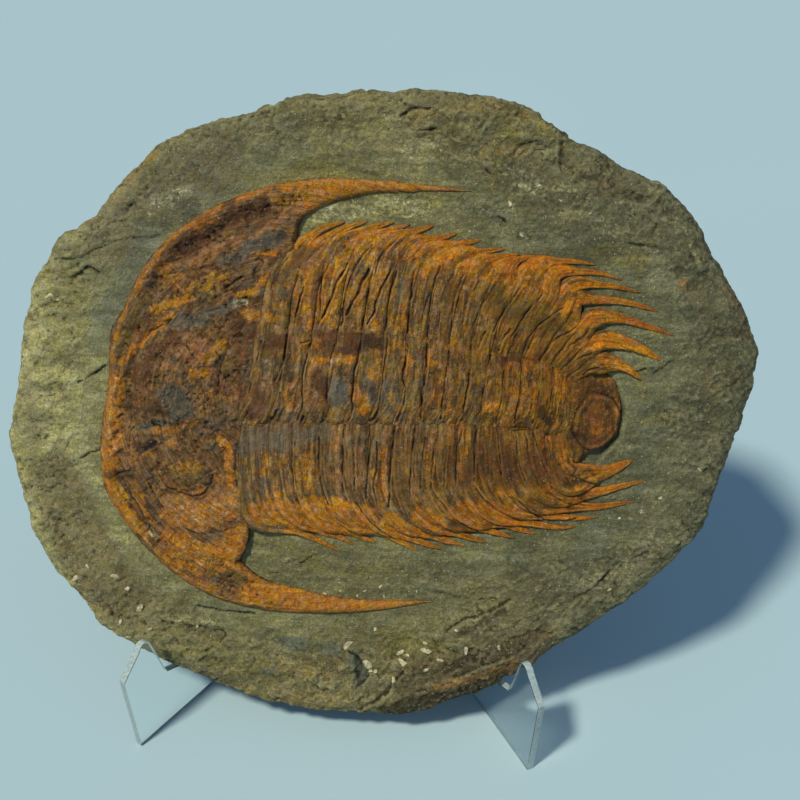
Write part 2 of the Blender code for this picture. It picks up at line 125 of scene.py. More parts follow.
# The thorax: where each ring border meets the furrows above and below the axis
AXIS_TOP = [
    (-78, 52), (-61, 48), (-45, 49), (-29, 49), (-14, 48), (0, 48), (14, 47), (27, 45), (41, 41), (55, 38),
    (67, 37), (78, 36), (88, 36), (98, 34), (105, 32), (111, 28), (116, 24), (119, 20), (121, 17),
]
AXIS_BOTTOM = [
    (-89, -14), (-71, -13), (-56, -12), (-39, -12), (-22, -12), (-6, -11), (10, -11), (23, -10), (37, -9),
    (50, -9), (61, -9), (73, -9), (84, -10), (94, -10), (102, -12), (108, -13), (113, -14), (117, -15),
    (119, -16),
]
# Where the ribs bend back, by border number
UPPER_BENDS = {0: (-75, 82), 4: (-8, 101), 7: (31, 94), 9: (62, 86), 11: (88, 71), 13: (108, 56),
               15: (124, 43), 18: (139, 26)}
LOWER_BENDS = {0: (-90, -76), 4: (-27, -75), 8: (31, -72), 11: (77, -62), 13: (103, -51), 15: (116, -40),
               16: (120, -33)}
UPPER_NOTCHES = [
    (-56, 101), (-43, 104), (-29, 108), (-16, 109), (-1, 109), (14, 110), (30, 106), (44, 101), (58, 98),
    (72, 95), (88, 92), (103, 89), (114, 83), (121, 75), (126, 66), (131, 54), (136, 42), (142, 28),
]
LOWER_NOTCHES = [
    (-85, -88), (-62, -82), (-45, -82), (-24, -86), (-4, -88), (15, -87), (34, -88), (50, -87), (66, -84),
    (80, -81), (94, -77), (104, -73), (112, -69), (120, -63), (127, -56), (132, -44),
]
LOWER_ROOTS = [(-89, -14), (-80, -13.5), *AXIS_BOTTOM[1:13], (105, -12), (119, -16)]
LOWER_ROOT_PLACES = [0, 0.5, *range(1, 13), 13.5, 16]
# Free spines, as the photograph's pixels from each rib's outer end to the tip
UPPER_SPINES = [
    [(318, 231), (345, 222)], [(340, 231), (368, 221)], [(364, 231), (394, 222)], [(382, 234), (410, 224)],
    [(404, 236), (434, 225)], [(430, 241), (458, 233)], [(452, 246), (482, 240)], [(470, 254), (505, 249)],
    [(494, 260), (520, 254)], [(513, 261), (538, 256)], [(538, 265), (566, 261), (597, 265)],
    [(554, 272), (580, 272), (600, 273), (622, 280)], [(572, 284), (600, 285), (619, 287), (641, 293)],
    [(574, 298), (600, 300), (620, 301), (640, 306), (659, 312)],
    [(588, 320), (604, 317), (624, 319), (643, 325), (673, 335)],
    [(596, 340), (610, 340), (625, 343), (643, 350), (662, 361)],
    [(600, 362), (617, 364), (631, 371), (642, 380)],
]
LOWER_SPINES = [
    [(262, 515), (300, 532), (340, 551)], [(300, 524), (322, 532), (340, 540)],
    [(322, 528), (338, 536), (354, 545)], [(354, 533), (376, 543)], [(374, 526), (394, 538), (418, 551)],
    [(410, 537), (426, 544), (442, 549)], [(438, 538), (465, 546)], [(462, 535), (487, 543)],
    [(487, 530), (513, 538)], [(506, 524), (520, 530), (537, 534)], [(550, 527), (576, 527)],
    [(572, 518), (598, 517)], [(594, 507), (617, 504), (634, 502)], [(596, 492), (618, 487), (646, 481)],
    [(597, 474), (614, 469), (633, 460)],
]
UPPER_SPINE_WIDTHS = [9, 9, 9, 8, 9, 9, 8, 8, 8, 8, 7, 7, 7, 8, 9, 14, 11]
LOWER_SPINE_WIDTHS = [9, 9, 9, 10, 11, 10, 9, 9, 9, 9, 8, 8, 9, 9, 16]
TAIL_END = [(150, 20), (156, 4), (154, -14), (144, -27)]
TAIL_PLATE = [
    (133, 14), (144, 12), (151, 2), (152, -10), (147, -19), (138, -23), (129, -21), (122, -13), (121, -3),
    (126, 8),
]
# The low shield round the tail plate, and the pit in it, as the photograph's pixels
TAIL_SHIELD = [
    (566, 372), (578, 362), (592, 364), (604, 371), (614, 381), (619, 394), (621, 408), (621, 422),
    (615, 437), (604, 448), (592, 452), (584, 458), (578, 464), (566, 464), (556, 446), (554, 410),
]
TAIL_PIT = (577, 436)
TAIL_LOBE = (136.0, -4.0)
RINGS = 18
PIT = [(-15, -170), (-9, -172), (-5, -181), (-10, -196), (-14, -188)]

# Heights over the bare rock, in millimetres
UNDER_SHELL = -2.4
SKIRT_FLOOR = -3.4
MARGIN_STEPS = ([0, 1.2, 3.5, 6, 9, 11.5, 14, 18, 26, 40], [0.4, 2.7, 4.9, 5.5, 4.7, 3.2, 3.0, 4.7, 6.4, 7.2])
HEAD_LEVEL = 5.0
GLABELLA_RISE = 4.6
EYES = [((-125, -48), 15.0, -1.0), ((-112, 74), 12.0, 1.0)]
EYE_RISE = 2.4
EYE_SLIT = 1.6
SMOOTH_CHEEK = (-114, -80)
AXIS_FURROW = 4.2
AXIS_HEIGHT = 10.2
RIB_LEVEL = 6.0
RIB_HEIGHT = 5.6
RING_LEVEL = 8.5
SPINE_HEIGHT = 2.5
SPINE_TIP_HEIGHT = 0.35
ON_BODY = 22
RIB_GROOVE = 0.5
RING_GROOVE = 0.3
TAIL_LEVEL = 4.0
TAIL_HEIGHT = 5.2

# A plate's section, front edge to rear edge, in half-widths
PLATE_ACROSS = [-1.0, -0.95, -0.88, -0.78, -0.66, -0.54, -0.42, -0.3, -0.18, -0.06, 0.06, 0.18, 0.3, 0.42, 0.54,
                0.66, 0.76, 0.85, 0.92, 0.97, 1.0]
PLATE_HEIGHTS = [-0.2, -0.09, 0.03, 0.12, 0.19, 0.24, 0.26, 0.265, 0.26, 0.26, 0.265, 0.28, 0.30, 0.33, 0.345,
                 0.34, 0.315, 0.26, 0.19, 0.09, -0.04]
PLATE_FOOT = [(0.96, -0.9), (-0.96, -0.9)]

# The slab's split sides: the depth of each ring of points, and how far it stands out
SIDE_DEPTHS = [0.9, 2.4, 4.6, 7.4, 10.4, 13.6, 17.0, 20.6, 24.0, SLAB_THICKNESS]
SIDE_REACH = [0.35, 0.9, 1.5, 1.9, 1.6, 0.9, 0.2, -1.2, -2.8, -5.0]

# Point spacing of the meshes, in millimetres
ROCK_SPACING = 1.25
HIDDEN_SPACING = 6.0
HEAD_SPACING = 0.85
TAIL_SPACING = 0.8
BACK_SPACING = 5.0
SWEEP_STEPS = 112
SECTION_POINTS = 37

# Cracks and furrows, as (width in pixels, depth in millimetres, photograph pixels)
HEAD_CRACKS = [
    (3, 1.4, [(227, 287), (233, 283), (242, 277)]), (2, 0.9, [(171, 307), (184, 291), (202, 268)]),
    (3, 1.2, [(268, 284), (280, 268), (293, 257), (305, 245)]),
    (2, 1.0, [(291, 259), (302, 250), (310, 246)]),
    (3, 1.3, [(168, 486), (181, 492), (193, 495), (204, 492), (211, 483), (213, 475)]),
    (2, 0.8, [(205, 474), (215, 469)]),
    (3, 0.7, [(149, 483), (161, 503), (175, 520), (190, 530), (208, 533), (233, 527)]),
    (2, 1.0, [(237, 443), (236, 471), (240, 489), (248, 504)]),
    (2, 0.9, [(242, 440), (242, 471), (248, 495), (251, 507)]), (2, 0.8, [(245, 592), (255, 580)]),
    (3, 1.0, [(110, 478), (122, 472), (135, 471)]), (6, 1.2, [(146, 449), (156, 442)]),
    (2, 0.8, [(248, 538), (243, 547), (240, 558)]), (2, 0.8, [(153, 330), (168, 322), (178, 312)]),
    (2, 0.7, [(141, 279), (158, 277), (176, 272)]),
    (3, 0.8, [(142, 374), (152, 360), (166, 347), (178, 337)]),
    (2, 0.7, [(189, 345), (195, 355), (198, 368)]), (2, 0.7, [(214, 345), (220, 356), (222, 372)]),
    (2, 0.6, [(147, 260), (170, 262), (196, 250), (226, 232)]),
    (2, 0.6, [(128, 400), (131, 425), (128, 450)]), (2, 0.7, [(116, 505), (128, 524), (141, 538)]),
    (2, 0.8, [(121, 478), (131, 497), (142, 516), (152, 534)]),
    (2, 0.6, [(217, 573), (232, 578), (246, 584)]),
    (2, 0.7, [(230, 335), (226, 352), (220, 372), (219, 392)]),
    (2, 0.7, [(255, 345), (246, 372), (240, 398)]), (2, 0.8, [(207, 312), (225, 306), (246, 303)]),
    (2, 0.6, [(196, 384), (205, 398), (207, 414)]),
]
RING_CRACKS = [
    (2.4, 1.4, [(288, 331), (283, 362), (275, 380)]), (2, 1.2, [(280, 392), (279, 409), (276, 413)]),
    (4, 1.8, [(277, 410), (274, 417), (270, 422)]),
    (2, 1.2, [(312, 338), (303, 375), (302, 405), (297, 420)]),
    (2, 1.2, [(335, 344), (328, 373), (327, 402), (322, 420)]),
    (2.4, 1.4, [(361, 335), (358, 357), (354, 376), (351, 416), (347, 422)]),
    (2, 1.3, [(387, 338), (385, 362), (381, 389), (379, 409)]),
    (4, 1.6, [(379, 409), (375, 417), (370, 421)]),
    (2.6, 1.4, [(407, 340), (406, 362), (403, 376), (405, 389), (403, 405), (397, 422)]),
    (2.6, 1.4, [(427, 345), (426, 369), (423, 389), (420, 421)]),
    (2.2, 1.3, [(449, 352), (444, 389), (440, 420)]), (2, 1.2, [(471, 354), (468, 383), (462, 421)]),
    (2, 1.1, [(490, 356), (486, 374), (480, 416)]), (1.6, 0.9, [(502, 357), (503, 390), (496, 424)]),
    (1.6, 0.9, [(521, 358), (521, 390), (514, 424)]), (1.6, 0.9, [(540, 360), (539, 391), (533, 424)]),
    (1.5, 0.8, [(553, 362), (552, 392), (546, 424)]), (1.5, 0.8, [(564, 365), (562, 395), (556, 425)]),
    (3, 1.4, [(248, 412), (243, 422)]), (3, 1.4, [(303, 417), (298, 429)]),
    (3, 1.2, [(326, 418), (320, 424)]), (2, 1.0, [(401, 410), (395, 424)]),
    (2, 1.0, [(421, 413), (418, 421)]), (2.4, 1.2, [(302, 322), (309, 325), (315, 325)]),
    (2.4, 1.2, [(323, 325), (331, 323), (339, 324)]), (2, 0.9, [(262, 341), (256, 366), (250, 392)]),
    (3, 1.0, [(301, 343), (310, 340)]), (2, 0.6, [(258, 424), (300, 427), (345, 426)]),
    (2, 0.6, [(345, 426), (400, 427), (470, 429), (530, 429)]),
    (1.6, 0.5, [(340, 334), (400, 337), (450, 344), (500, 352)]),
]
UPPER_CRACKS = [
    (2.4, 1.4, [(304, 287), (300, 302), (295, 317)]), (2.2, 1.2, [(291, 335), (293, 326), (296, 316)]),
    (3, 1.6, [(348, 263), (336, 285), (322, 319)]), (3.4, 1.5, [(322, 316), (319, 322), (315, 327)]),
    (2, 1.2, [(322, 277), (320, 295), (320, 311), (318, 325)]),
    (2.2, 1.3, [(361, 258), (350, 279), (344, 302), (342, 322), (338, 330)]),
    (3.4, 1.6, [(369, 269), (362, 283), (356, 297), (346, 314)]),
    (2, 1.3, [(397, 239), (381, 255), (374, 275), (367, 298), (363, 321), (361, 331)]),
    (2.4, 1.3, [(391, 269), (379, 293), (374, 311), (367, 324)]),
    (1.8, 1.1, [(397, 271), (389, 295), (386, 325), (385, 334)]),
    (2.4, 1.3, [(414, 271), (411, 293), (409, 314), (407, 338)]),
    (2, 1.1, [(441, 266), (431, 295), (427, 340)]), (1.6, 0.8, [(431, 289), (424, 309), (421, 330)]),
    (1.8, 1.0, [(463, 274), (454, 300), (449, 346)]), (1.6, 0.8, [(455, 270), (443, 296), (438, 330)]),
    (1.8, 1.0, [(495, 285), (480, 308), (474, 330), (471, 350)]),
    (1.6, 0.8, [(480, 280), (466, 304), (461, 338)]),
    (1.8, 1.0, [(519, 288), (503, 312), (492, 334), (490, 352)]),
    (3, 1.4, [(510, 328), (503, 340), (498, 351)]), (2.2, 1.1, [(485, 331), (478, 348)]),
    (1.8, 0.9, [(541, 296), (524, 315), (512, 336), (508, 354)]),
    (2, 1.0, [(563, 308), (550, 317), (538, 326), (527, 341), (523, 357)]),
    (1.8, 0.9, [(586, 315), (571, 331), (556, 338), (544, 354), (539, 361)]),
    (2, 1.0, [(591, 353), (579, 358), (568, 369)]), (2, 1.0, [(604, 366), (589, 369), (583, 374)]),
    (1.6, 0.8, [(588, 332), (574, 343), (560, 350), (553, 362)]),
    (1.6, 0.7, [(345, 247), (331, 262), (320, 280)]), (1.6, 0.7, [(372, 245), (360, 258), (352, 272)]),
    (1.6, 0.7, [(425, 245), (410, 258), (404, 275)]),
]
LOWER_CRACKS = [
    (1.8, 1.0, [(295, 442), (292, 461), (295, 491), (299, 503)]),
    (2.2, 1.2, [(319, 437), (319, 449), (320, 475), (323, 491), (328, 503)]),
    (2.2, 1.2, [(343, 430), (343, 463), (343, 488), (347, 500)]),
    (1.8, 1.0, [(354, 448), (355, 470), (355, 490)]), (2.2, 1.2, [(371, 429), (368, 465), (366, 499)]),
    (2.4, 1.3, [(377, 441), (377, 469), (374, 480), (375, 499)]),
    (2.2, 1.2, [(395, 426), (391, 461), (389, 506)]), (2, 1.1, [(415, 430), (411, 464), (410, 495)]),
    (2, 1.1, [(438, 432), (433, 459), (431, 490)]), (1.6, 0.8, [(426, 436), (422, 462), (420, 488)]),
    (2, 1.0, [(462, 428), (457, 451), (455, 486)]), (1.6, 0.8, [(449, 436), (445, 462), (443, 486)]),
    (1.8, 1.0, [(477, 430), (475, 450), (474, 480)]), (1.8, 1.0, [(496, 425), (500, 460), (501, 475)]),
    (1.6, 0.8, [(486, 432), (488, 456), (488, 476)]), (1.8, 0.9, [(515, 430), (518, 460), (524, 480)]),
    (1.8, 0.9, [(525, 432), (530, 460), (538, 485)]), (1.8, 0.9, [(533, 432), (543, 463), (552, 488)]),
    (1.6, 0.8, [(545, 430), (556, 460), (569, 482)]), (1.6, 0.7, [(268, 436), (266, 462), (272, 492)]),
    (1.6, 0.6, [(281, 440), (279, 466), (284, 496)]),
    (2, 1.0, [(356, 501), (369, 520), (385, 534), (398, 544)]),
    (2, 1.0, [(518, 499), (533, 514), (549, 523), (576, 521)]),
    (1.6, 0.7, [(320, 500), (335, 517), (352, 528)]), (1.6, 0.7, [(300, 503), (318, 517), (336, 528)]),
    (1.6, 0.7, [(405, 506), (420, 525), (440, 538)]), (1.6, 0.8, [(440, 500), (456, 520), (478, 533)]),
    (1.6, 0.8, [(476, 488), (494, 508), (520, 522)]), (1.6, 0.8, [(546, 492), (566, 503), (588, 508)]),
    (1.6, 0.8, [(562, 470), (580, 480), (600, 486)]),
]
ROCK_CRACKS = [
    (1.8, 0.8, [(79, 382), (88, 377), (96, 371)]), (2.2, 1.4, [(94, 373), (100, 369), (105, 366)]),
    (1.4, 0.7, [(41, 417), (48, 411), (62, 400)]), (1.6, 0.8, [(64, 451), (70, 443), (76, 436), (88, 433)]),
    (2.6, 1.2, [(81, 458), (90, 454), (100, 449)]), (1.4, 0.7, [(61, 398), (65, 403), (69, 408)]),
    (3, 1.6, [(73, 277), (85, 267), (98, 271)]), (3, 1.2, [(61, 259), (68, 259)]),
    (2, 0.9, [(71, 259), (98, 247), (134, 238), (159, 236)]), (3, 1.2, [(148, 236), (159, 234)]),
    (3, 1.6, [(400, 116), (414, 108), (431, 107)]), (2.4, 1.2, [(418, 130), (439, 129)]),
    (2, 1.2, [(609, 161), (612, 169), (608, 177)]), (3, 1.2, [(630, 243), (655, 246)]),
    (2, 0.8, [(685, 232), (698, 266)]), (2.4, 1.2, [(634, 557), (647, 551)]),
    (2, 1.0, [(664, 557), (670, 552)]), (3, 1.0, [(163, 622), (202, 627), (225, 636), (207, 652)]),
    # The next crack is the dark line under the lower cheek spine; its darkening is painted shadow.
    (3, 1.3, [(198, 606), (225, 612), (255, 615)]),
    (2.6, 2.2, [(404, 672), (392, 684), (386, 693), (374, 702), (360, 712)]),
    (3, 1.6, [(510, 602), (496, 611), (476, 618), (462, 622), (448, 631)]),
    (1.6, 1.2, [(520, 654), (500, 660), (478, 668), (452, 678)]),
    (3, 1.4, [(314, 686), (322, 690), (328, 690)]),
    (3, 1.4, [(351, 652), (356, 656), (370, 670), (358, 687)]), (2, 1.0, [(636, 371), (654, 369)]),
    (2, 1.0, [(654, 374), (670, 361)]), (3, 1.6, [(248, 538), (243, 547), (240, 558)]),
    (2, 0.8, [(300, 563), (306, 560), (311, 555)]), (2, 0.8, [(268, 574), (277, 573)]),
    (2, 0.8, [(560, 604), (590, 590), (611, 569)]), (2, 0.8, [(440, 592), (470, 600), (498, 601)]),
    (2, 0.9, [(515, 152), (520, 146), (536, 141)]), (3, 1.2, [(486, 169), (490, 174)]),
    (3, 1.4, [(500, 217), (506, 221)]), (2, 0.8, [(700, 180), (712, 205), (716, 236)]),
]
# Stains, as (stain, width in pixels, strength, photograph pixels)
HEAD_STAINS = [
    ("rust", 16, 1.0, [(118, 380), (113, 410), (112, 440), (110, 477)]),
    ("ochre", 4, 0.8, [(104, 415), (103, 440), (103, 470)]),
    ("rose", 11, 0.5, [(116, 384), (113, 412), (114, 444)]),
    ("pale", 12, 0.28, [(117, 380), (114, 412), (114, 450)]),
    ("rust", 5, 0.6, [(109, 385), (112, 350), (122, 318), (138, 285), (152, 262)]),
    ("rose", 10, 0.7, [(120, 372), (127, 352), (140, 335), (158, 322), (174, 312)]),
    ("olive", 12, 0.6, [(122, 350), (130, 325), (145, 300)]), ("maroon", 10, 0.5, [(128, 340), (150, 315)]),
    ("rust", 5, 0.8, [(152, 262), (168, 241), (190, 223), (210, 209), (230, 200)]),
    ("maroon", 7, 0.6, [(158, 266), (172, 248), (194, 231), (214, 217), (236, 206)]),
    ("rust", 7, 0.8, [(228, 200), (260, 190), (290, 184), (320, 182)]),
    ("maroon", 16, 0.95, [(176, 256), (200, 238), (228, 220), (262, 206)]),
    ("dark", 8, 0.6, [(180, 254), (206, 234), (238, 214)]), ("rust", 7, 0.6, [(196, 226), (214, 216)]),
    ("rose", 7, 0.9, [(170, 268), (192, 258), (218, 248), (248, 236), (280, 222)]),
    ("ochre", 12, 0.6, [(277, 200), (300, 196), (318, 194)]),
    ("rose", 10, 0.8, [(280, 214), (305, 205), (325, 200)]),
    ("rust", 10, 0.9, [(320, 186), (360, 185), (400, 186), (440, 187), (470, 190)]),
    ("ochre", 4, 0.5, [(300, 186), (350, 183), (420, 184)]),
    ("slate", 12, 0.95, [(250, 246), (264, 240), (280, 238)]), ("dark", 8, 0.7, [(278, 240), (285, 236)]),
    ("rust", 6, 0.8, [(254, 253), (274, 251)]), ("slate", 9, 0.8, [(222, 262), (240, 256), (256, 250)]),
    ("ochre", 14, 0.55, [(193, 288), (208, 285), (222, 278)]), ("olive", 12, 0.6, [(196, 292), (214, 290)]),
    ("ochre", 7, 1.0, [(240, 292), (251, 292)]), ("pale", 6, 0.7, [(237, 301), (247, 302)]),
    ("slate", 12, 0.9, [(208, 312), (222, 308), (234, 304)]),
    ("slate", 14, 0.75, [(176, 322), (190, 318), (208, 314)]),
    ("maroon", 8, 0.8, [(170, 306), (186, 288), (204, 268)]), ("rust", 18, 0.55, [(168, 272), (180, 284)]),
    ("ochre", 9, 1.0, [(156, 310), (166, 303), (177, 300)]), ("rust", 7, 0.95, [(178, 301), (192, 295)]),
    ("rust", 7, 0.9, [(122, 362), (137, 344), (154, 329), (171, 316)]),
    ("maroon", 13, 0.8, [(140, 378), (148, 362), (162, 348), (180, 336)]),
    ("rose", 26, 0.85, [(186, 344), (200, 350), (206, 362)]), ("rose", 16, 0.6, [(170, 366), (176, 378)]),
    ("ochre", 7, 1.0, [(208, 357), (215, 350), (221, 342)]), ("dark", 8, 0.8, [(215, 364), (222, 358)]),
    ("rust", 8, 0.7, [(193, 372), (206, 371)]), ("slate", 24, 0.9, [(170, 392), (182, 402), (184, 412)]),
    ("dark", 12, 0.5, [(176, 386), (182, 404)]), ("rust", 7, 1.0, [(257, 291), (263, 284), (270, 277)]),
    ("slate", 14, 0.8, [(268, 292), (282, 272), (298, 256)]),
    ("dark", 9, 0.7, [(275, 280), (292, 262), (308, 248)]),
    ("rust", 6, 0.7, [(273, 274), (285, 262), (294, 248)]),
    ("maroon", 22, 0.6, [(240, 322), (252, 330), (270, 336)]),
    ("ochre", 12, 0.8, [(252, 314), (262, 318), (276, 322)]),
    ("maroon", 20, 0.55, [(232, 340), (246, 356), (240, 376)]),
    ("slate", 12, 0.6, [(255, 352), (248, 376)]), ("rose", 14, 0.5, [(222, 386), (232, 398), (228, 412)]),
    ("rust", 10, 0.5, [(212, 388), (216, 402)]), ("maroon", 22, 0.6, [(136, 404), (150, 398), (166, 404)]),
    ("slate", 9, 0.9, [(141, 427), (152, 421), (164, 420)]),
    ("rust", 9, 0.65, [(154, 430), (174, 426), (194, 424)]), ("dark", 9, 0.9, [(147, 448), (155, 443)]),
    ("rust", 6, 0.8, [(147, 454), (152, 455)]), ("rose", 14, 0.7, [(124, 440), (130, 455), (124, 470)]),
    ("rust", 10, 0.6, [(170, 440), (178, 445)]), ("slate", 18, 0.5, [(205, 428), (222, 420), (236, 414)]),
    ("olive", 22, 0.6, [(178, 470), (196, 474)]), ("ochre", 12, 0.6, [(182, 466), (200, 464)]),
    ("rust", 8, 0.5, [(172, 484), (188, 489), (202, 487)]), ("maroon", 12, 0.5, [(196, 458), (214, 462)]),
    # The dark crescent round the eye on the next line is painted shade in its furrow.
    ("dark", 4, 0.8, [(168, 487), (181, 493), (194, 496), (205, 492), (212, 482), (212, 474)]),
    ("rose", 40, 0.95, [(180, 508), (202, 508), (222, 502)]),
    ("rust", 26, 0.62, [(176, 512), (204, 514), (228, 506)]),
    ("pale", 24, 0.24, [(176, 508), (204, 512), (228, 504)]), ("ochre", 10, 0.5, [(186, 500), (206, 510)]),
    ("rose", 14, 0.7, [(222, 476), (226, 494)]), ("rust", 9, 0.8, [(232, 446), (231, 470), (236, 494)]),
    ("ochre", 8, 1.0, [(223, 439), (228, 445)]), ("olive", 10, 0.5, [(205, 446), (218, 440)]),
    ("dark", 9, 0.8, [(110, 474), (122, 474), (134, 477)]),
    ("ochre", 8, 1.0, [(117, 486), (121, 497), (128, 510), (138, 524), (146, 535)]),
    ("rust", 8, 0.9, [(109, 486), (114, 500), (124, 516), (136, 531)]),
    ("rust", 13, 0.6, [(135, 484), (142, 504), (148, 520)]), ("maroon", 12, 0.5, [(135, 506), (146, 514)]),
    ("pale", 4, 0.5, [(150, 530), (156, 536)]),
    ("rust", 18, 0.85, [(168, 536), (192, 546), (216, 549), (240, 546)]),
    ("ochre", 8, 0.6, [(170, 538), (184, 546)]), ("rust", 30, 0.65, [(178, 556), (198, 560), (218, 558)]),
    ("ochre", 24, 0.45, [(178, 554), (200, 558), (224, 556)]),
    ("rust", 14, 0.9, [(226, 537), (240, 531), (250, 522)]), ("rust", 8, 0.8, [(250, 503), (251, 520)]),
    ("rust", 12, 0.9, [(232, 563), (244, 568), (258, 582)]),
    ("olive", 9, 0.7, [(216, 570), (232, 576), (246, 586)]),
    ("dark", 5, 0.6, [(222, 572), (238, 578), (250, 590)]),
    ("rust", 22, 1.0, [(250, 592), (280, 597), (315, 600)]),
    ("rust", 14, 1.0, [(315, 601), (360, 603), (425, 605)]),
    ("ochre", 6, 0.7, [(258, 584), (290, 590), (330, 596)]),
    ("ochre", 5, 0.7, [(180, 578), (217, 596), (262, 605)]),
    ("rust", 10, 0.6, [(160, 552), (180, 572), (214, 588)]), ("olive", 10, 0.5, [(150, 548), (162, 560)]),
]
RING_STAINS = [
    ("maroon", 17, 0.9, [(268, 344), (283, 344)]), ("pale", 3, 0.4, [(266, 356), (272, 362)]),
    ("rust", 10, 0.6, [(306, 346), (315, 344)]), ("maroon", 22, 0.85, [(318, 340), (338, 343), (358, 343)]),
    ("dark", 14, 0.8, [(366, 343), (384, 342)]), ("maroon", 12, 0.8, [(366, 341), (384, 344)]),
    ("rust", 9, 1.0, [(315, 360), (334, 359), (355, 360)]), ("pale", 5, 0.8, [(335, 361), (338, 360)]),
    ("olive", 20, 0.6, [(362, 364), (384, 364)]), ("rust", 14, 0.6, [(390, 346), (404, 346)]),
    ("rust", 6, 1.0, [(408, 350), (411, 358), (409, 366)]), ("rust", 6, 1.0, [(431, 350), (433, 364)]),
    ("maroon", 14, 0.9, [(319, 376), (325, 386)]), ("slate", 18, 0.9, [(335, 386), (342, 398)]),
    ("slate", 16, 0.7, [(370, 382), (372, 398)]), ("slate", 14, 0.7, [(390, 386), (396, 400)]),
    ("ochre", 10, 0.5, [(392, 396), (398, 408)]), ("rose", 15, 0.8, [(310, 394), (317, 398)]),
    ("rust", 12, 0.8, [(354, 392), (360, 400), (364, 410)]), ("rust", 8, 0.6, [(370, 372), (380, 378)]),
    ("ochre", 9, 0.9, [(487, 407), (496, 406)]), ("maroon", 13, 0.9, [(503, 360), (536, 361)]),
    ("rust", 9, 0.6, [(510, 367), (530, 362)]), ("dark", 13, 0.9, [(541, 414), (548, 420)]),
    ("maroon", 16, 0.7, [(255, 388), (262, 400), (252, 412)]), ("rust", 8, 0.6, [(288, 392), (292, 408)]),
    ("slate", 16, 0.5, [(286, 408), (292, 420)]), ("rose", 12, 0.5, [(258, 372), (264, 384)]),
    ("rust", 8, 0.5, [(440, 380), (436, 400)]), ("olive", 16, 0.4, [(415, 376), (412, 400)]),
    ("dark", 16, 0.35, [(455, 362), (480, 366)]), ("maroon", 18, 0.4, [(440, 352), (480, 360)]),
    ("maroon", 26, 0.3, [(440, 396), (500, 394), (552, 392)]), ("rose", 15, 0.7, [(248, 396), (262, 408)]),
    ("rose", 12, 0.6, [(296, 386), (300, 406)]), ("rust", 12, 0.5, [(376, 350), (384, 372)]),
    ("ochre", 12, 0.4, [(440, 410), (460, 408)]), ("rust", 12, 0.45, [(510, 388), (530, 396)]),
    ("ochre", 8, 0.5, [(525, 405), (532, 415)]), ("rust", 14, 0.5, [(560, 372), (562, 392)]),
    ("maroon", 20, 0.35, [(266, 424), (330, 426)]), ("rust", 7, 0.5, [(372, 428), (400, 429)]),
]
